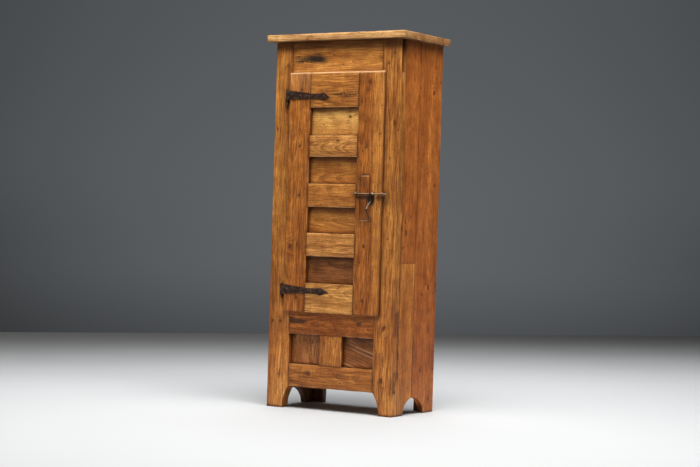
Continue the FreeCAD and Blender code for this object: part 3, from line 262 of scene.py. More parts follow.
# How fast it does so, and its light at the horizon and high up: each as two heights of the
# direction and the value at each of them
BACKDROP_FALL = (-0.02, 0.04, 11.5, 8)
BACKDROP_HORIZON = (-0.08, -0.015, 0.52, 0.945)
BACKDROP_TOP = (0, 0.16, 1, 0.8)
WORLD_LIGHT = (0.93, 0.96, 1.0, 1)
WORLD_STRENGTH = 0.08

# Name, place, the point that it looks at, size, power in watts and colour of each lamp
LAMPS = (
    ("overhead_box", (1.15, -1.4, 4.6), (0, 0, 0.8), 3.2, 390, (1, 0.98, 0.95)),
    ("front_box", (-1.2, -6.6, 3.2), (0, 0, 0.9), 2.4, 10, (1, 0.98, 0.96)),
    ("rear_box", (-1.6, 2.6, 4.4), (-1.6, 2.6, 0), 3.4, 130, (1, 1, 1)),
)


def make_floor():
    """A pale floor with painted shade that darkens it towards the backdrop."""
    along = Vector((math.cos(BACKDROP_DIRECTION), math.sin(BACKDROP_DIRECTION), 0))
    away = Vector((math.sin(BACKDROP_DIRECTION), -math.cos(BACKDROP_DIRECTION), 0))
    corners = [
        BACKDROP_FOOT + along * side * FLOOR_SPREAD + away * depth
        for side, depth in ((-1, 0), (-1, FLOOR_SPREAD), (1, FLOOR_SPREAD), (1, 0))
    ]
    mesh = bpy.data.meshes.new("floor")
    mesh.from_pydata(corners, [], [(0, 1, 2, 3)])
    floor = bpy.data.objects.new("floor", mesh)
    bpy.context.scene.collection.objects.link(floor)
    surface = Surface("floor_paper")
    offset = surface.vector_math("SUBTRACT", surface.coordinates(), tuple(BACKDROP_FOOT))
    depth = surface.vector_math("DOT_PRODUCT", offset, tuple(away))
    cloud = surface.noise(surface.coordinates(), FLOOR_CLOUD_SCALE)
    depth = surface.plus(depth, surface.times(cloud, FLOOR_CLOUD))
    # Painted shade on the floor, darker towards the backdrop
    colour = surface.mix(surface.step(depth, *FLOOR_RISE), FLOOR_SHADE, FLOOR_WHITE)
    surface.set("Base Color", colour)
    surface.set("Roughness", surface.step(cloud, 0, 1, *FLOOR_ROUGHNESS))
    surface.set("Specular IOR Level", FLOOR_SPECULAR)
    mesh.materials.append(surface.material)


def make_world():
    """Plain light from all round; what the camera and gloss see is the grey backdrop."""
    world = bpy.data.worlds.new("studio")
    world.use_nodes = True
    tree = Shader(world.node_tree)
    direction = tree.add("ShaderNodeTexCoord").outputs["Generated"]
    rise = tree.separate(direction)["Z"]
    aside = tree.vector_math("DOT_PRODUCT", direction, BACKDROP_ASIDE)
    aside = tree.minus(aside, BACKDROP_MIDDLE)
    fall = tree.product(aside, aside, tree.step(rise, *BACKDROP_FALL))
    level = tree.product(
        tree.step(rise, *BACKDROP_HORIZON),
        tree.step(rise, *BACKDROP_TOP),
        tree.math("MAXIMUM", tree.minus(1, fall), BACKDROP_DARKEST),
    )
    backdrop = tree.add("ShaderNodeBackground")
    tree.join(backdrop.inputs["Color"], tree.scaled(BACKDROP_GREY[:3], level))
    light = tree.add("ShaderNodeBackground")
    tree.join(light.inputs["Color"], WORLD_LIGHT)
    tree.join(light.inputs["Strength"], WORLD_STRENGTH)
    path = tree.add("ShaderNodeLightPath").outputs
    is_seen = tree.total(
        path["Is Camera Ray"], path["Is Transmission Ray"], path["Is Glossy Ray"])
    choice = tree.add("ShaderNodeMixShader")
    tree.join(choice.inputs[0], is_seen)
    tree.join(choice.inputs[1], light.outputs[0])
    tree.join(choice.inputs[2], backdrop.outputs[0])
    output = tree.add("ShaderNodeOutputWorld")
    tree.join(output.inputs["Surface"], choice.outputs[0])
    bpy.context.scene.world = world


def make_lamp(name, place, target, size, power, colour):
    """A square soft box that looks at a point."""
    data = bpy.data.lights.new(name, "AREA")
    data.shape = "SQUARE"
    data.size = size
    data.energy = power
    data.color = colour
    lamp = bpy.data.objects.new(name, data)
    lamp.location = place
    lamp.rotation_mode = "QUATERNION"
    lamp.rotation_quaternion = (Vector(target) - Vector(place)).to_track_quat("-Z", "Y")
    bpy.context.scene.collection.objects.link(lamp)


# ---------------------------------------------------------------- wood

WHITE = (1, 1, 1, 1)
BLEACHED = srgb(188, 140, 86)
HONEY = srgb(186, 132, 66)
GOLD = srgb(182, 124, 63)
AMBER = srgb(164, 104, 44)
RUSSET = srgb(154, 91, 34)
BRICK = srgb(157, 87, 32)
UMBER = srgb(128, 79, 38)
RAW = srgb(150, 112, 72)
KNOT_WOOD = srgb(84, 40, 16)
# Soot and dark stains, also used for a little painted shade under the door and under a rail
SOOT_AND_SHADE = srgb(34, 23, 17)
# Dark dirt colour, also used for painted shade in corners, gaps, under overhangs and low down
SHADE_AND_GRIME = srgb(62, 27, 6)
# Pale dust and wear, also used for painted highlights on open arrises and on the door's top
DUST_AND_HIGHLIGHT = srgb(214, 170, 122)
# Early wood is paler than a board's tone, late wood browner, and old wax makes it redder
EARLY = (1.25, 1.3, 1.36)
LATE = (0.5, 0.42, 0.34)
WAXED = (0.72, 0.6, 0.44)
# A share of honey
SAPWOOD = (1.3, 1.15, 0.95)
# Dark places of waxed pine are redder than its light ones, and so is its lower half
SHADE_POWERS = (0.88, 1.12, 1.35)
REDDER = (0.98, 0.88, 0.88)
REDDER_BELOW = (1.0, 0.2)
# Painted light from the pale floor makes the feet paler and less saturated
FLOOR_BOUNCE = (1.4, 1.62, 2.0)
FLOOR_BOUNCE_BELOW = (0.3, 0)

# The axes along a board's grain, across its face and into its depth
FRONT = ("Z", "X", "Y")
RAIL = ("X", "Z", "Y")
SIDE = ("Z", "Y", "X")
TOP = ("X", "Y", "Z")

# The noises over a board: whether the grain draws them out, how many times finer they are
# across the board, into it and along it, then their scale, detail and roughness
STRETCH = 0.12
EVEN = (1, 1, 1)
FIELDS = {
    "slow": (True, EVEN, 8, 2, 0.5),
    "quick": (True, EVEN, 45, 3, 0.5),
    "cloud": (True, EVEN, 5, 3, 0.6),
    "streak": (True, EVEN, 22, 4, 0.65),
    "line": (True, (210, 210, 75), 1, 4, 0.7),
    "fibre": (True, (680, 680, 150), 1, 3, 0.5),
    "dash": (True, (300, 300, 110), 1, 1, 0.5),
    "crack": (True, (34, 34, 9), 1, 1, 0.5),
    "score": (True, (110, 110, 16), 1, 2, 0.5),
    "blotch": (False, EVEN, 17, 4, 0.62),
    "smear": (False, (46, 46, 6), 1, 3, 0.5),
    "speck": (False, (1, 1, 0.45), 105, 1, 0.5),
    "fleck": (False, (1, 1, 0.35), 260, 1, 0.5),
    "squiggle": (False, EVEN, 95, 2, 0.6),
}
# What noises do to a board's light: two values of the noise, and the light at each of them
CLOUD_SHADE = (0.28, 0.72, 0.8, 1.52)
SHADES = (
    ("blotch", (0.3, 0.7, 0.8, 1.18)),
    ("fibre", (0.3, 0.7, 0.8, 1.14)),
    ("dash", (0.62, 0.72, 1, 0.58)),
    ("speck", (0.7, 0.76, 1, 0.4)),
    ("fleck", (0.62, 0.7, 1, 0.66)),
    ("fleck", (0.36, 0.28, 1, 1.24)),
)
# The same for those that some boards show more boldly, as what they add to a light of 1
BOLD_SHADES = (
    ("smear", (0.35, 0.66, 0.1, -0.17)),
    ("line", (0.38, 0.62, 0.32, -0.32)),
)
STREAK_WAX = (0.42, 0.64, 0, 0.55)
# How squarely a face looks along an axis when it starts to count and when it fully does
FACING = (0.6, 0.9)
END_GRAIN_SHADE = 0.85

# Year rings: how far two noises push them about, how late wood darkens through a year and
# breaks off at its end, and how strong it is from year to year and along the fibres
RING_SWING = 0.06
RING_RIPPLE = 0.013
LATE_WOOD = ((0.1, 0.9), (1.0, 0.9))
RING_CHANGE = 0.45
RING_STRENGTH = (0.3, 0.7, 0.15, 1)
RING_BREAKS = (0.25, 0.6, 0.55, 1)
# A knot: how far it is drawn out, then in shares of its size its ragged edge, the rings'
# swelling and its dark core, and how dark that is
KNOT_FLAT = 0.7
KNOT_RAGGED = 0.9
KNOT_SWELLING = 4
KNOT_CORE = (1.2, 0.55)
KNOT_DARK = 0.8

# Sapwood's edge, and how wide and dark cracks are and which clouds have them
SAP_RAGGED = 0.02
SAP_EDGE = (-0.006, 0.006, 0, 0.6)
CRACK_WIDTH = (0.006, 0.001)
CRACKED_CLOUD = (0.52, 0.6)
CRACK_SHADE = 0.4
# Dirt and painted shade: how far they reach from other pieces and their patches, then the dark
# seams with painted shadow in their gaps, and the dark soles of the feet
CORNER_RAGGED = 0.012
CORNER_REACH = (0.016, 0)
CORNER_PATCHES = (0.25, 0.7, 0.45, 1)
SEAM_REACH = (0.005, 0.0005)
SEAM_DARKNESS = 1.5
SOLE_RAGGED = 0.01
SOLE_REACH = (0.02, 0.007)
SOLE_DARKNESS = 0.85
# Pale wear and painted highlight: how far they reach from an open arris, and their patches;
# then scuffs, scores, stains and scratches, each with how ragged it is or where it starts
# and is full
WORN_REACH = (0.004, 0.0005)
WORN_PATCHES = (0.35, 0.6)
SCUFF_RAGGED = 0.006
SCUFF_LINES = (0.3, 0.7, 1, 0.6)
SCORES = (0.6, 0.68)
STAIN_RAGGED = 1.5
STAIN_CORE = 0.35
SQUIGGLE_WIDTH = (0.06, 0.015)
SQUIGGLE_REACH = (1, 0.6)

# Roughness and relief of the ring, the fibres, the cracks and the blotches
RING_GLOSS = -0.05
BLOTCH_GLOSS = 0.25
WAX_GLOSS = -0.1
WOOD_SPECULAR = 0.3
RING_RELIEF = 0.5
FIBRE_RELIEF = 0.4
CRACK_RELIEF = -1.5
BLOTCH_RELIEF = 1.4
WOOD_RELIEF = 0.0005
# Each board shows another part of the noises
SEED_SHIFT = (1.37, 2.11, 0.73)


def shade_of(tone, shares):
    return tuple(value * share for value, share in zip(tone, shares)) + (1,)


class Pine(Surface):
    """The material of one board, with the places on it and the noises over it."""

    def __init__(self, node, axes, seed, turn):
        super().__init__(f"pine_{node}")
        self.axes = axes
        self.flat_axes = sorted(axes[:2])
        self.seed = seed
        self.fields = {}
        self.place = self.separate(self.coordinates())
        low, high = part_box(node)
        middle = dict(zip("XYZ", (low + high) / 2))
        along, across, depth = (self.minus(self.place[axis], middle[axis]) for axis in axes)
        if turn:
            cosine, sine = math.cos(turn), math.sin(turn)
            turned = self.minus(self.times(along, cosine), self.times(across, sine))
            across = self.plus(self.times(along, sine), self.times(across, cosine))
            along = turned
        self.along, self.across, self.depth = along, across, depth
        shift = tuple(seed * share for share in SEED_SHIFT)
        self.shifted = self.vector_math("ADD", self.combine(across, depth, along), shift)
        self.stretched = self.vector_math("MULTIPLY", self.shifted, (1, 1, STRETCH))

    def field(self, name):
        """One of the noises over the board, which is made once."""
        if name not in self.fields:
            is_drawn, squeeze, *settings = FIELDS[name]
            start = self.stretched if is_drawn else self.shifted
            vector = start if squeeze == EVEN else self.vector_math("MULTIPLY", start, squeeze)
            self.fields[name] = self.noise(vector, *settings)
        return self.fields[name]

    def wobble(self, name, size):
        """A noise about zero."""
        return self.times(self.minus(self.field(name), 0.5), size)

    def distance(self, spot, flat):
        """Distance from a spot on the board, drawn out along the grain."""
        spot_place = dict(zip(self.flat_axes, spot))
        along, across = (self.minus(self.place[axis], spot_place[axis]) for axis in self.axes[:2])
        return self.vector_math("LENGTH", self.combine(across, self.times(along, flat), 0))

    def year_rings(self, pith, lean, width, knots):
        """The late wood of rings that swell round the knots, and the knots' dark cores."""
        swing = self.plus(self.wobble("slow", RING_SWING), self.wobble("quick", RING_RIPPLE))
        out = self.plus(self.minus(self.across, pith[0]), self.times(self.along, lean[0]))
        back = self.plus(self.minus(self.depth, pith[1]), self.times(self.along, lean[1]))
        radius = self.vector_math("LENGTH", self.combine(self.plus(out, swing), back, 0))
        cores = None
        for *spot, size in knots:
            away = self.plus(self.distance(spot, KNOT_FLAT),
                             self.wobble("quick", size * KNOT_RAGGED))
            radius = self.plus(radius, self.step(away, size * KNOT_SWELLING, 0, 0, size))
            core = self.step(away, *(size * share for share in KNOT_CORE))
            cores = core if cores is None else self.math("MAXIMUM", cores, core)
        phase = self.math("DIVIDE", radius, width)
        year = self.math("FRACT", phase)
        strength = self.noise(self.combine(self.times(phase, RING_CHANGE), self.seed, 0), 1)
        ring = self.product(
            *(self.step(year, *reach) for reach in LATE_WOOD),
            self.step(strength, *RING_STRENGTH),
            self.step(self.field("fibre"), *RING_BREAKS),
        )
        return ring, cores

    def with_sapwood(self, colour, sapwood):
        """Pale sapwood beside a slanting line, given by its upper and lower ends."""
        (high_place, high_edge), (low_place, low_edge) = sapwood
        slope = (high_edge - low_edge) / (high_place - low_place)
        rise = self.minus(self.place[self.axes[0]], low_place)
        edge = self.plus(self.times(rise, slope), low_edge)
        inside = self.minus(self.place[self.axes[1]], edge)
        inside = self.plus(inside, self.wobble("quick", SAP_RAGGED))
        return self.mix(self.step(inside, *SAP_EDGE), colour, shade_of(HONEY, SAPWOOD))

    def cracks(self):
        crack = self.math("ABSOLUTE", self.minus(self.field("crack"), 0.5))
        return self.times(self.step(crack, *CRACK_WIDTH),
                          self.step(self.field("cloud"), *CRACKED_CLOUD))

    def facing(self, axis):
        """How squarely a face looks along an axis, either way."""
        return self.math("ABSOLUTE", self.separate(self.normal())[axis])

    def shade(self, light, bold, cracks, edges, flats):
        """How light each place is, by the noises, the cracks and darker end grain, with painted
        shade on the faces that look across the board and to its front and back.
        """
        start, end, low, high = CLOUD_SHADE
        shades = [self.step(self.field("cloud"), start, end, low * light, high * light)]
        shades += [self.step(self.field(name), *shade) for name, shade in SHADES]
        shades += [
            self.step(self.field(name), start, end, 1 + low * bold, 1 + high * bold)
            for name, (start, end, low, high) in BOLD_SHADES
        ]
        shades.append(self.step(cracks, 0, 1, 1, CRACK_SHADE))
        end_grain = self.step(self.facing(self.axes[0]), *FACING)
        shades.append(self.step(end_grain, 0, 1, 1, END_GRAIN_SHADE))
        # Painted shade on the faces that look across the board (edges) and to its front and back
        # (flats)
        for axis, share in zip(self.axes[1:], (edges, flats)):
            if share != 1:
                shades.append(self.step(self.facing(axis), *FACING, 1, share))
        return self.product(*shades)

    def dirt_and_shade(self, grime):
        """Dirt and painted shade in the corners with other pieces, dark seams with painted shadow
        in their gaps, and dark soles of the feet.
        """
        near = self.attribute("near")
        ragged = self.plus(near, self.wobble("quick", CORNER_RAGGED))
        corner = self.product(self.step(ragged, *CORNER_REACH),
                              self.step(self.field("blotch"), *CORNER_PATCHES), grime)
        seam = self.times(self.step(near, *SEAM_REACH), min(1, grime * SEAM_DARKNESS))
        height = self.plus(self.place["Z"], self.times(self.field("blotch"), SOLE_RAGGED))
        sole = self.times(self.step(height, *SOLE_REACH), SOLE_DARKNESS)
        return self.math("MAXIMUM", self.math("MAXIMUM", corner, seam), sole)

    def worn_and_highlit_arris(self, wear):
        """Pale wear and a painted highlight along the open arrises."""
        return self.product(self.step(self.attribute("gap"), *WORN_REACH),
                            self.step(self.field("blotch"), *WORN_PATCHES), wear)

    def scuff(self, axis, start, full, strength):
        """A pale band beyond a line across an axis: rubbing, and on the door's top a painted
        highlight.
        """
        edge = self.plus(self.place[axis], self.wobble("blotch", SCUFF_RAGGED))
        return self.times(self.step(edge, start, full, 0, strength),
                          self.step(self.field("line"), *SCUFF_LINES))

    def stain(self, spot, size, dark):
        """A ragged dark oval: mostly a stain, in two places painted shade."""
        half = dict(zip(self.flat_axes, size))
        along, across = (half[axis] for axis in self.axes[:2])
        away = self.plus(self.distance(spot, across / along),
                         self.wobble("quick", across * STAIN_RAGGED))
        return self.times(self.step(away, across, across * STAIN_CORE), dark)

    def scratches(self, spot, size, dark):
        """Squiggly old scratches inside an oval."""
        offsets = [
            self.math("DIVIDE", self.minus(self.place[axis], middle), half)
            for axis, middle, half in zip(self.flat_axes, spot, size)
        ]
        away = self.vector_math("LENGTH", self.combine(*offsets, 0))
        squiggle = self.math("ABSOLUTE", self.minus(self.field("squiggle"), 0.5))
        return self.product(self.step(squiggle, *SQUIGGLE_WIDTH),
                            self.step(away, *SQUIGGLE_REACH), dark)


def wood(node, axes, tone, seed, pith=(0.03, 0.06), lean=(0.012, 0.05), rings=0.0046,
         figure=0.8, knots=(), stains=(), marks=(), grime=0.4, light=1.0, wax=0.5,
         sapwood=None, scuffs=(), shaded=(), scores=0, edges=1, flats=1, turn=0, wear=0.6,
         bold=1, is_worn=True):
    """Pine with year rings about a pith beside the board, knots, streaks, stains and wear, and
    painted shade and highlights.

    tone, light, bold: its colour, how light it is, and how bold its smears and lines are
    seed: a number of the board's own, which moves the noises
    pith, lean: the rings' middle, across and into the board, and how that slants along it
    rings, figure: the width of a year, and how strongly the late wood shows
    turn: how far the grain is turned away from the board's length
    knots: place and size of each
    stains, marks: place, half size and darkness of each stain or patch of scratches; two of the
    stains paint shade
    sapwood: the upper and the lower end of its edge, each as a height and a place across
    scuffs, shaded: axis, start, full end and strength of each pale or dark band; one pale band
    is a painted highlight on the door's top, and most dark bands are painted shade
    grime, wear: how dark the corners and seams get from dirt and painted shade, and
    how pale the open arrises get from wear and a painted highlight
    scores: how strong its pale scored lines are
    edges, flats: painted shade on the faces that look across the board, and on its front and back
    wax: its roughness
    is_worn: whether the piece has the attributes that worn() gives
    """
    pine = Pine(node, axes, seed, turn)
    ring, knot_cores = pine.year_rings(pith, lean, rings, knots)
    cracks = pine.cracks()

    early, late, waxed = (shade_of(tone, shares) for shares in (EARLY, LATE, WAXED))
    colour = pine.mix(pine.step(pine.field("streak"), *STREAK_WAX), early, waxed)
    if sapwood:
        colour = pine.with_sapwood(colour, sapwood)
    colour = pine.mix(pine.times(ring, figure), colour, late)
    shade = pine.shade(light, bold, cracks, edges, flats)
    shades = pine.combine(*(pine.math("POWER", shade, power) for power in SHADE_POWERS))
    colour = pine.vector_math("MULTIPLY", colour, shades)
    # A redder lower half, and painted light from the floor on the feet
    for reach, shares in ((REDDER_BELOW, REDDER), (FLOOR_BOUNCE_BELOW, FLOOR_BOUNCE)):
        below = pine.mix(pine.step(pine.place["Z"], *reach), WHITE, shares + (1,))
        colour = pine.vector_math("MULTIPLY", colour, below)

    # Dirt and painted shade in the corners and seams, and dark soles of the feet
    if is_worn:
        colour = pine.mix(pine.dirt_and_shade(grime), colour, SHADE_AND_GRIME)
    if knots:
        colour = pine.mix(pine.times(knot_cores, KNOT_DARK), colour, KNOT_WOOD)
    # Pale wear with a painted highlight on the open arrises
    if is_worn:
        colour = pine.mix(pine.worn_and_highlit_arris(wear), colour, DUST_AND_HIGHLIGHT)
    # Pale scuffs, and the painted highlight along the door's top
    for scuff in scuffs:
        colour = pine.mix(pine.scuff(*scuff), colour, DUST_AND_HIGHLIGHT)
    if scores:
        colour = pine.mix(pine.step(pine.field("score"), *SCORES, 0, scores), colour, DUST_AND_HIGHLIGHT)
    # Dark bands, mostly painted shade
    for axis, start, full, strength in shaded:
        colour = pine.mix(pine.step(pine.place[axis], start, full, 0, strength), colour, SHADE_AND_GRIME)
    # Stains, two of them painted shade
    for stain in stains:
        colour = pine.mix(pine.stain(*stain), colour, SOOT_AND_SHADE)
    for mark in marks:
        colour = pine.mix(pine.scratches(*mark), colour, SOOT_AND_SHADE)
    pine.set("Base Color", colour)

    gloss = pine.plus(pine.times(ring, RING_GLOSS), pine.times(pine.field("blotch"), BLOTCH_GLOSS))
    pine.set("Roughness", pine.plus(gloss, wax + WAX_GLOSS))
    pine.set("Specular IOR Level", WOOD_SPECULAR)
    height = pine.total(
        pine.times(ring, RING_RELIEF),
        pine.times(pine.field("fibre"), FIBRE_RELIEF),
        pine.times(cracks, CRACK_RELIEF),
        pine.times(pine.field("blotch"), BLOTCH_RELIEF),
    )
    pine.set("Normal", pine.bump(height, WOOD_RELIEF))
    return pine.material


# ---------------------------------------------------------------- worn pieces

# How far arrises are rounded, and how deep a surface is hollowed and its arrises nibbled
WEAR = 0.0014
HOLLOW = 0.0007
NIBBLE = 0.0022
# How fine a mesh is cut across its longest side and along it
CELL = 0.016
LONG_CELL = 0.03
# Corners and cuts nearer than this are one
SAME_PLACE = 1e-5
SAME_PLANE = 1e-6
# Angles between faces: below the first an edge goes, above the second it is an arris, and
# above the third it still shades as a sharp one
STRAIGHT = math.radians(1)
SHARP = math.radians(25)
SMOOTH = math.radians(42)
# Segments of a rounded arris and of the door's crown, and how near that crown its edges lie
ARRIS_SEGMENTS = 2
CROWN_SEGMENTS = 3
CROWN_REACH = 0.002
# How far other pieces are felt, and how near one of them has to be to touch
NEAR = 0.02
TOUCHING = 0.0025
WEAR_STEP = 0.003
# Scale and share of the noises that make the hollows
HOLLOW_NOISES = ((9, 0.6), (23, 0.4))
# Faces whose normals' product is below this meet in an arris
ARRIS_BELOW = 0.93
NIBBLE_SCALE = 31
NIBBLE_SHIFT = Vector((7, 3, 1))
NIBBLE_GAIN = 3


def make_neighbours():
    """One search tree over all wooden pieces, and the piece that each face belongs to."""
    corners, faces, owners = [], [], []
    for node, source in frame["nodes"].items():
        if not source.data.materials[0].name.startswith(("pine", "peg")):
            continue
        base = len(corners)
        corners.extend(vertex.co.copy() for vertex in source.data.vertices)
        for polygon in source.data.polygons:
            faces.append([base + corner for corner in polygon.vertices])
            owners.append(node)
    return BVHTree.FromPolygons(corners, faces), owners


NEIGHBOURS, OWNERS = make_neighbours()


def distance_to_others(node, place, reach):
    """How far the nearest other wooden piece is, up to a reach."""
    found = NEIGHBOURS.find_nearest_range(place, reach)
    return min((hit[3] for hit in found if OWNERS[hit[2]] != node), default=reach)


def slice_along(shape, axis, low, high, cell):
    """Cut a mesh across an axis so that it can carry wear."""
    count = max(1, round((high - low) / cell))
    direction = Vector(float(axis == number) for number in range(3))
    for number in range(1, count):
        place = direction * (low + (high - low) * number / count)
        parts = shape.verts[:] + shape.edges[:] + shape.faces[:]
        bmesh.ops.bisect_plane(shape, geom=parts, dist=SAME_PLANE, plane_co=place,
                               plane_no=direction)


def convex_arrises(shape):
    return [
        edge for edge in shape.edges
        if edge.is_manifold and edge.is_convex and edge.calc_face_angle(0) > SHARP
    ]


def round_off(shape, edges, offset, segments):
    bmesh.ops.bevel(shape, geom=edges, offset=offset, segments=segments, profile=0.5,
                    affect="EDGES", clamp_overlap=True)


def open_arris_points(node, arrises):
    """Points along the arrises that no other piece touches."""
    points = []
    for edge in arrises:
        start, end = (vertex.co for vertex in edge.verts)
        count = max(2, math.ceil((end - start).length / WEAR_STEP))
        for number in range(count + 1):
            point = start.lerp(end, number / count)
            if distance_to_others(node, point, TOUCHING) >= TOUCHING:
                points.append(point)
    tree = KDTree(max(1, len(points)))
    for number, point in enumerate(points):
        tree.insert(point, number)
    tree.balance()
    return tree


def wear_away(shape, node, open_points, hollow, nibble):
    """Move a mesh inwards, and keep as attributes how near other pieces and open arrises are."""
    shape.normal_update()
    near = shape.verts.layers.float.new("near")
    gap = shape.verts.layers.float.new("gap")
    moves = []
    for vertex in shape.verts:
        vertex[near] = distance_to_others(node, vertex.co, NEAR)
        vertex[gap] = min(NEAR, open_points.find(vertex.co)[2] or NEAR)
        normals = [face.normal for face in vertex.link_faces]
        spread = min((a.dot(b) for a in normals for b in normals), default=1)
        dent = sum(noise.noise(vertex.co * scale) * share for scale, share in HOLLOW_NOISES)
        depth = hollow * (0.5 + 0.5 * dent)
        if spread < ARRIS_BELOW:
            chip = max(0.0, noise.noise(vertex.co * NIBBLE_SCALE + NIBBLE_SHIFT)) ** 2
            depth += nibble * chip * NIBBLE_GAIN
        moves.append((vertex, vertex.normal * -depth))
    for vertex, move in moves:
        vertex.co += move


def worn(node, wear=WEAR, cell=CELL, long_cell=LONG_CELL, hollow=HOLLOW, nibble=NIBBLE,
         crown=None):
    """A piece's shape with softened, nibbled arrises and a hand-planed surface."""
    source = frame["nodes"][node]
    shape = bmesh.new()
    shape.from_mesh(source.data)
    bmesh.ops.remove_doubles(shape, verts=shape.verts, dist=SAME_PLACE)
    bmesh.ops.dissolve_limit(shape, angle_limit=STRAIGHT, verts=shape.verts, edges=shape.edges)
    arrises = convex_arrises(shape)
    open_points = open_arris_points(node, arrises)
    if crown:
        top, front, radius = crown
        crowned = [
            edge for edge in arrises
            if all(vertex.co.z > top - CROWN_REACH and vertex.co.y < front + CROWN_REACH
                   for vertex in edge.verts)
        ]
        round_off(shape, crowned, radius, CROWN_SEGMENTS)
        arrises = convex_arrises(shape)
    round_off(shape, arrises, wear, ARRIS_SEGMENTS)
    low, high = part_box(node)
    longest = max(range(3), key=lambda axis: high[axis] - low[axis])
    for axis in range(3):
        slice_along(shape, axis, low[axis], high[axis], long_cell if axis == longest else cell)
    wear_away(shape, node, open_points, hollow, nibble)
    mesh = bpy.data.meshes.new(f"{node}_worn")
    shape.to_mesh(mesh)
    shape.free()
    for polygon in mesh.polygons:
        polygon.use_smooth = True
    mesh.set_sharp_from_angle(angle=SMOOTH)
    piece = bpy.data.objects.new(f"{node}_worn", mesh)
    bpy.context.scene.collection.objects.link(piece)
    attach(piece, body_of(source)[0])
    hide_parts(node)
    return piece


def dress(piece, material):
    """Give a piece one material in every slot."""
    if piece.data.materials:
        for number in range(len(piece.data.materials)):
            piece.data.materials[number] = material
    else:
        piece.data.materials.append(material)


def board(node, axes, tone, seed, crown=None, cell=CELL, arris=WEAR, **looks):
    """Dress one wooden piece, with wear in its shape."""
    dress(worn(node, wear=arris, crown=crown, cell=cell), wood(node, axes, tone, seed, **looks))


# ---------------------------------------------------------------- iron

# Scale, detail and roughness of the noises over forged iron
HAMMER = (90, 2, 0.5)
PITS = (420, 3, 0.7)
PATCHES = (28, 3, 0.65)
# Two values of a noise, and the share or the light at each
HAMMER_BRIGHT = (0.4, 0.75)
PATCH_RUST = (0.48, 0.62, 0, 0.7)
PIT_SHADE = (0.3, 0.7, 0.8, 1.1)
# Painted highlight on faces that look up and painted shade on faces that look down: how far
# up a face looks when the highlight starts and is full, and how far down for the shade
HIGHLIGHT_UP = (0.1, 0.7)
SHADE_DOWN = (0, -0.6)
# A rubbed grip: how softly it ends, outwards and inwards, and the rust and roughness elsewhere
SHINE_SOFT = (0.006, 0.004)
UNRUBBED_RUST = 0.95
UNRUBBED_ROUGHNESS = 0.4
RUBBED_SPECULAR = 0.15
PATCH_MIDDLE = 0.4
PATCH_ROUGHNESS = 0.3
HAMMER_RELIEF = 1.6
PIT_RELIEF = 0.3
IRON_RELIEF = 0.0006


def iron(name, base, bright, rust, seed, metal=0.75, rough=0.5, shine=None, highlight_and_shade=0.5):
    """Forged iron: scale and old wax in the hollows, worn brighter on the high spots, with a
    painted highlight on faces that look up and painted shade on faces that look down.
    """
    surface = Surface(name)
    place = surface.vector_math("ADD", surface.coordinates(), (seed, seed, seed))
    hammer, pits, patch = (surface.noise(place, *scales) for scales in (HAMMER, PITS, PATCHES))
    colour = surface.mix(surface.step(hammer, *HAMMER_BRIGHT), base, bright)
    colour = surface.mix(surface.step(patch, *PATCH_RUST), colour, rust)
    colour = surface.scaled(colour, surface.step(pits, *PIT_SHADE))
    upward = surface.separate(surface.normal())["Z"]
    # Painted highlight on faces that look up, and painted shade on faces that look down
    colour = surface.mix(surface.step(upward, *HIGHLIGHT_UP, 0, highlight_and_shade), colour, bright)
    colour = surface.scaled(colour, surface.step(upward, *SHADE_DOWN, 1, 1 - highlight_and_shade))
    if shine:
        low, high = shine
        outside, inside = SHINE_SOFT
        height = surface.separate(surface.coordinates())["Z"]
        rubbed = surface.times(surface.step(height, low - outside, low + inside),
                               surface.step(height, high + outside, high - inside))
        colour = surface.mix(surface.step(rubbed, 0, 1, UNRUBBED_RUST, 0), colour, rust)
        rough = surface.step(rubbed, 0, 1, rough + UNRUBBED_ROUGHNESS, rough)
        surface.set("Specular IOR Level", RUBBED_SPECULAR)
    surface.set("Base Color", colour)
    surface.set("Metallic", metal)
    uneven = surface.times(surface.minus(patch, PATCH_MIDDLE), PATCH_ROUGHNESS)
    surface.set("Roughness", surface.plus(uneven, rough))
    height = surface.plus(surface.times(hammer, HAMMER_RELIEF), surface.times(pits, PIT_RELIEF))
    surface.set("Normal", surface.bump(height, IRON_RELIEF))
    return surface.material


# ---------------------------------------------------------------- the cabinet

# The grain of a peg runs from front to back
PEG = ("Y", "X", "Z")
DOOR_CROWN = 0.009
PANEL_CELL = 0.008
TOP_ARRIS = 0.003
# Painted shade under the overhang of the top board, on the front and on the sides
UNDER_TOP_SHADE = ("Z", 1.628, 1.658, 0.6)
UNDER_TOP_SHADE_ASIDE = ("Z", 1.65, 1.675, 0.5)
# The top board's edge gets darker and browner towards its bottom
TOP_EDGE = ("Z", 1.713, 1.69, 0.25)
# Painted shade on the lower ends of the rear posts and the left side boards
SHADED_FOOT = ("Z", 0.16, 0.1, 0.65)
# Bands along an edge, as the distances inside it where they start and are full, and their
# strength: the painted highlight on the top of the door, the painted shadow of the gap at
# its latch edge, and the painted shade on a panel under its rail
DOOR_TOP_HIGHLIGHT = (DOOR_CROWN * 1.4, DOOR_CROWN * 0.4, 0.8)
GAP_SHADOW = (0.008, 0.001, 0.7)
PANEL_SHADE = (0.03, 0.004, 0.65)
# Black iron stain under the rod, round the head of the pull and under the keeper
BOLT_STAINS = (
    ((0.165, 0.978), (0.05, 0.014), 0.75),
    ((0.208, 0.968), (0.03, 0.036), 1),
    ((0.25, 0.976), (0.022, 0.016), 0.6),
    ((0.24, 1.0), (0.022, 0.12), 0.22),
)
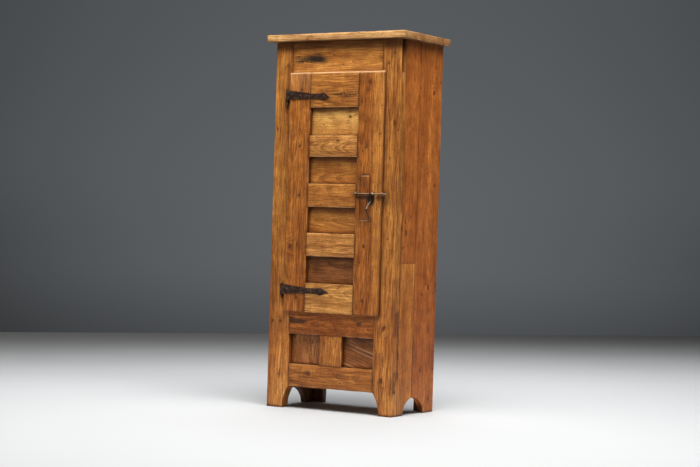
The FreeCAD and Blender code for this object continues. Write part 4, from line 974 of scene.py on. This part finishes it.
# Scale, bright colour of the worn spots and of the painted highlight, and rust of the irons
DARK_IRON = (srgb(62, 44, 38), srgb(112, 88, 70), srgb(76, 46, 28))
WORN_IRON = (srgb(104, 80, 62), srgb(222, 195, 162), srgb(88, 58, 40))
RUBBED_IRON = (srgb(192, 168, 148), srgb(240, 224, 208), srgb(56, 34, 24))
# Heights between which a hand rubs the pull
GRIP = (0.926, 0.957)
STRAP_WEAR = dict(wear=0.0011, cell=0.004, long_cell=0.005, hollow=0.0006, nibble=0.0006)
# The pull swells where a board is hollowed
PULL_WEAR = dict(wear=0.0002, cell=0.006, long_cell=0.005, hollow=-0.001, nibble=0)


def dress_carcass():
    """The pine of the carcass, piece by piece."""
    # The top planks get painted shade on their upper and lower faces
    top_looks = dict(arris=TOP_ARRIS, light=0.8, flats=0.55, grime=0.2, wear=1, scores=0.3,
                     shaded=(TOP_EDGE,))
    board("top_front_plank", TOP, BLEACHED, 1, pith=(-0.2, -0.1), **top_looks)
    board("top_rear_plank", TOP, BLEACHED, 2, pith=(0.1, -0.08), **top_looks)
    # The left post gets painted shade on its faces that look sideways, into the door's reveal
    board("front_post_left", FRONT, AMBER, 3, pith=(0.09, 0.03), lean=(-0.02, 0.01),
          light=0.88, grime=0.3, wear=0.3, edges=0.45, shaded=(UNDER_TOP_SHADE,),
          knots=((-0.319, 1.288, 0.006),))
    board("front_post_right", FRONT, AMBER, 4, pith=(-0.08, 0.05), lean=(0.02, 0.03),
          light=0.84, bold=1.3, grime=0.35, wear=0.2, shaded=(UNDER_TOP_SHADE,),
          stains=(((0.279, 0.965), (0.03, 0.06), 0.5),),
          knots=((0.311, 1.312, 0.011), (0.284, 0.391, 0.010), (0.279, 0.16, 0.011)))
    board("frieze_rail", RAIL, AMBER, 5, pith=(0.01, 0.05), lean=(0.04, -0.05), light=1.02,
          grime=0.25, scuffs=(("Z", 1.562, 1.522, 0.25),), shaded=(UNDER_TOP_SHADE,),
          stains=(((-0.115, 1.607), (0.085, 0.026), 0.97), ((-0.17, 1.604), (0.1, 0.02), 0.8),
                  ((-0.2, 1.598), (0.07, 0.008), 0.7)),
          marks=(((-0.155, 1.605), (0.11, 0.022), 0.9),))
    # The middle rail's last dark patch is painted shadow under the door; the others are stains
    board("middle_rail", RAIL, RUSSET, 6, pith=(-0.02, 0.05), light=0.88, lean=(0.03, 0.08),
          knots=((0.155, 0.405, 0.010),), grime=0.3,
          stains=(((-0.18, 0.402), (0.06, 0.018), 0.8), ((-0.23, 0.415), (0.04, 0.014), 0.7),
                  ((0.16, 0.425), (0.07, 0.016), 0.4)))
    board("bottom_rail", RAIL, AMBER, 7, pith=(0.01, 0.06), light=0.9, lean=(0.02, 0.05),
          knots=((-0.112, 0.165, 0.012),))
    # The muntin gets painted shade on its faces that look sideways
    board("lower_muntin", FRONT, AMBER, 8, pith=(0.02, 0.05), light=0.9, edges=0.3)
    board("lower_panel_left", FRONT, UMBER, 9, grime=0.75, light=1.45, bold=0.5, cell=PANEL_CELL)
    # The right lower panel's dark patch is a stain that also paints the shade under the rail
    board("lower_panel_right", RAIL, UMBER, 10, grime=0.75, turn=0.3, pith=(0.09, 0.02),
          rings=0.014, figure=1, light=1, cell=PANEL_CELL, scores=0.45,
          stains=(((0.16, 0.335), (0.07, 0.02), 0.5),))
    # Side boards get painted shade on their front and back edges and under the top's overhang
    side_looks = dict(edges=0.3, shaded=(UNDER_TOP_SHADE_ASIDE,), grime=0.12, wear=0.5, bold=0.7)
    hidden_looks = dict(edges=0.3, shaded=(UNDER_TOP_SHADE_ASIDE, SHADED_FOOT))
    board("left_side_front_board", SIDE, RUSSET, 11, pith=(0.02, 0.06), **hidden_looks)
    board("left_side_rear_board", SIDE, AMBER, 12, pith=(-0.03, 0.08), **hidden_looks)
    board("right_side_front_board", SIDE, BRICK, 13, pith=(0.02, 0.07), light=0.93,
          knots=((-0.089, 0.822, 0.011), (-0.107, 0.756, 0.006), (-0.097, 0.871, 0.007)),
          **side_looks)
    board("right_side_patch", SIDE, RUSSET, 14, pith=(-0.05, -0.05), light=1.4, **side_looks)
    board("right_side_rear_board", SIDE, BRICK, 15, pith=(0.03, 0.09), light=1.12,
          knots=((0.131, 1.47, 0.009), (0.157, 1.046, 0.009), (0.126, 0.577, 0.010),
                 (0.073, 0.545, 0.007), (0.08, 0.198, 0.009), (0.158, 0.065, 0.009)),
          **side_looks)
    for number, side in enumerate(("left", "right")):
        board(f"rear_post_{side}", FRONT, RUSSET, 16 + number, light=0.7, shaded=(SHADED_FOOT,))
    for number, rail in enumerate(("back_rail_bottom", "back_rail_top")):
        board(rail, RAIL, RAW, 18 + number, wax=0.7)
    for number in range(1, 5):
        board(f"back_board_{number}", FRONT, RAW, 20 + number, light=0.8, wax=0.75,
              pith=(0.02 * number - 0.05, -0.06))
    for number, plank in enumerate(("floor_front_plank", "floor_rear_plank", "shelf_1", "shelf_2",
                                    "shelf_3", "left_cleats", "right_cleats")):
        axes = SIDE if plank.endswith("cleats") else TOP
        board(plank, axes, RAW, 30 + number, wax=0.7, light=0.9)


def band(axis, edge, start, full, strength):
    """A band that starts and is full at distances inside an edge."""
    return axis, edge - start, edge - full, strength


def dress_door():
    """The pine of the door: darker stiles, paler rails, and panels in recesses with painted shade
    under the rails.
    """
    low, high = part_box("door_latch_stile")
    crown = (high.z, low.y, DOOR_CROWN)
    # A painted highlight along the door's top, and painted shadow of the gap at its latch edge
    highlit_top = band("Z", high.z, *DOOR_TOP_HIGHLIGHT)
    shadowed_gap = band("X", high.x, *GAP_SHADOW)
    # The hinge stile gets painted shade on its faces that look sideways, into the panels' reveals
    board("door_hinge_stile", FRONT, RUSSET, 41, crown, pith=(-0.03, 0.06), light=0.8, edges=0.45,
          scuffs=(highlit_top, ("Z", 1.42, 1.53, 0.2)), knots=((-0.222, 0.745, 0.012),))
    board("door_latch_stile", FRONT, RUSSET, 42, crown, pith=(-0.05, 0.05), light=0.76,
          scuffs=(highlit_top,), knots=((0.186, 1.495, 0.012), (0.246, 1.264, 0.005)), grime=0.6,
          sapwood=((1.545, 0.203), (0.446, 0.227)), shaded=(shadowed_gap,), stains=BOLT_STAINS)
    board("door_rail_1", RAIL, AMBER, 51, crown, light=0.96, pith=(-0.05, 0.05), figure=1,
          bold=1.3, scuffs=(highlit_top,), marks=(((0.068, 1.440), (0.066, 0.020), 1),),
          stains=(((0.015, 1.443), (0.05, 0.006), 0.85),))
    board("door_rail_2", RAIL, GOLD, 52, light=0.86, pith=(0.0, 0.045), lean=(0.03, 0.12),
          figure=1, knots=((0.023, 1.231, 0.006),))
    board("door_rail_3", RAIL, AMBER, 53, light=1.06, pith=(0.02, 0.07), figure=0.5)
    board("door_rail_4", RAIL, GOLD, 54, light=0.78, pith=(-0.03, 0.05), lean=(-0.05, 0.06),
          figure=0.4)
    board("door_rail_5", RAIL, HONEY, 55, light=0.92, pith=(0.03, 0.05), lean=(0.06, 0.08))
    panels = (
        (HONEY, dict(light=1.06, pith=(0.03, 0.09), figure=0.3, bold=0.4,
                     knots=((0.072, 1.341, 0.006),))),
        (AMBER, dict(light=0.76, pith=(-0.04, 0.07), bold=0.6)),
        (AMBER, dict(light=0.9, pith=(0.0, 0.06), bold=0.6)),
        (UMBER, dict(light=1.02, pith=(0.03, 0.05))),
    )
    # Painted shade on each panel under its rail
    for number, (tone, looks) in enumerate(panels, 1):
        rail_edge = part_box(f"door_rail_{number}")[0].z
        board(f"door_panel_{number}", RAIL, tone, 60 + number, cell=PANEL_CELL, grime=0.6,
              shaded=(band("Z", rail_edge, *PANEL_SHADE),), **looks)
    board("lock_patch", FRONT, RUSSET, 65, pith=(0.04, 0.06), light=0.74, cell=PANEL_CELL,
          grime=0.15, wear=0, scuffs=(("Z", 1.070, 1.0735, 0.8), ("Z", 0.874, 0.8705, 0.8)),
          stains=BOLT_STAINS)


def dress_fittings():
    """Pegs, nails, straps, bolt and pull."""
    for number, pegs in enumerate(("frame_pegs", "door_pegs")):
        material = wood(pegs, PEG, UMBER, 70 + number, light=0.8, is_worn=False)
        dress(frame["nodes"][pegs], material)
    dark = iron("forged_iron_dark", *DARK_IRON, 1)
    for node in ("strap_hinge_upper", "strap_hinge_lower"):
        dress(worn(node, **STRAP_WEAR), dark)
    for node in ("hinge_nails", "hinge_pintle_upper", "hinge_pintle_lower", "carcass_nails"):
        dress(frame["nodes"][node], dark)
    # Bright iron with a strong painted highlight on its upper faces
    bright = iron("worn_iron_bright", *WORN_IRON, 2, rough=0.32, highlight_and_shade=0.85)
    for node in ("bolt_staple_left", "bolt_staple_right", "bolt_keeper", "bolt_rod"):
        dress(frame["nodes"][node], bright)
    rubbed = iron("rubbed_iron", *RUBBED_IRON, 3, metal=0.7, rough=0.32, shine=GRIP)
    dress(worn("bolt_pull", **PULL_WEAR), rubbed)


make_camera()
make_floor()
make_world()
for lamp_looks in LAMPS:
    make_lamp(*lamp_looks)
dress_carcass()
dress_door()
dress_fittings()
bpy.context.scene.view_settings.view_transform = "Standard"
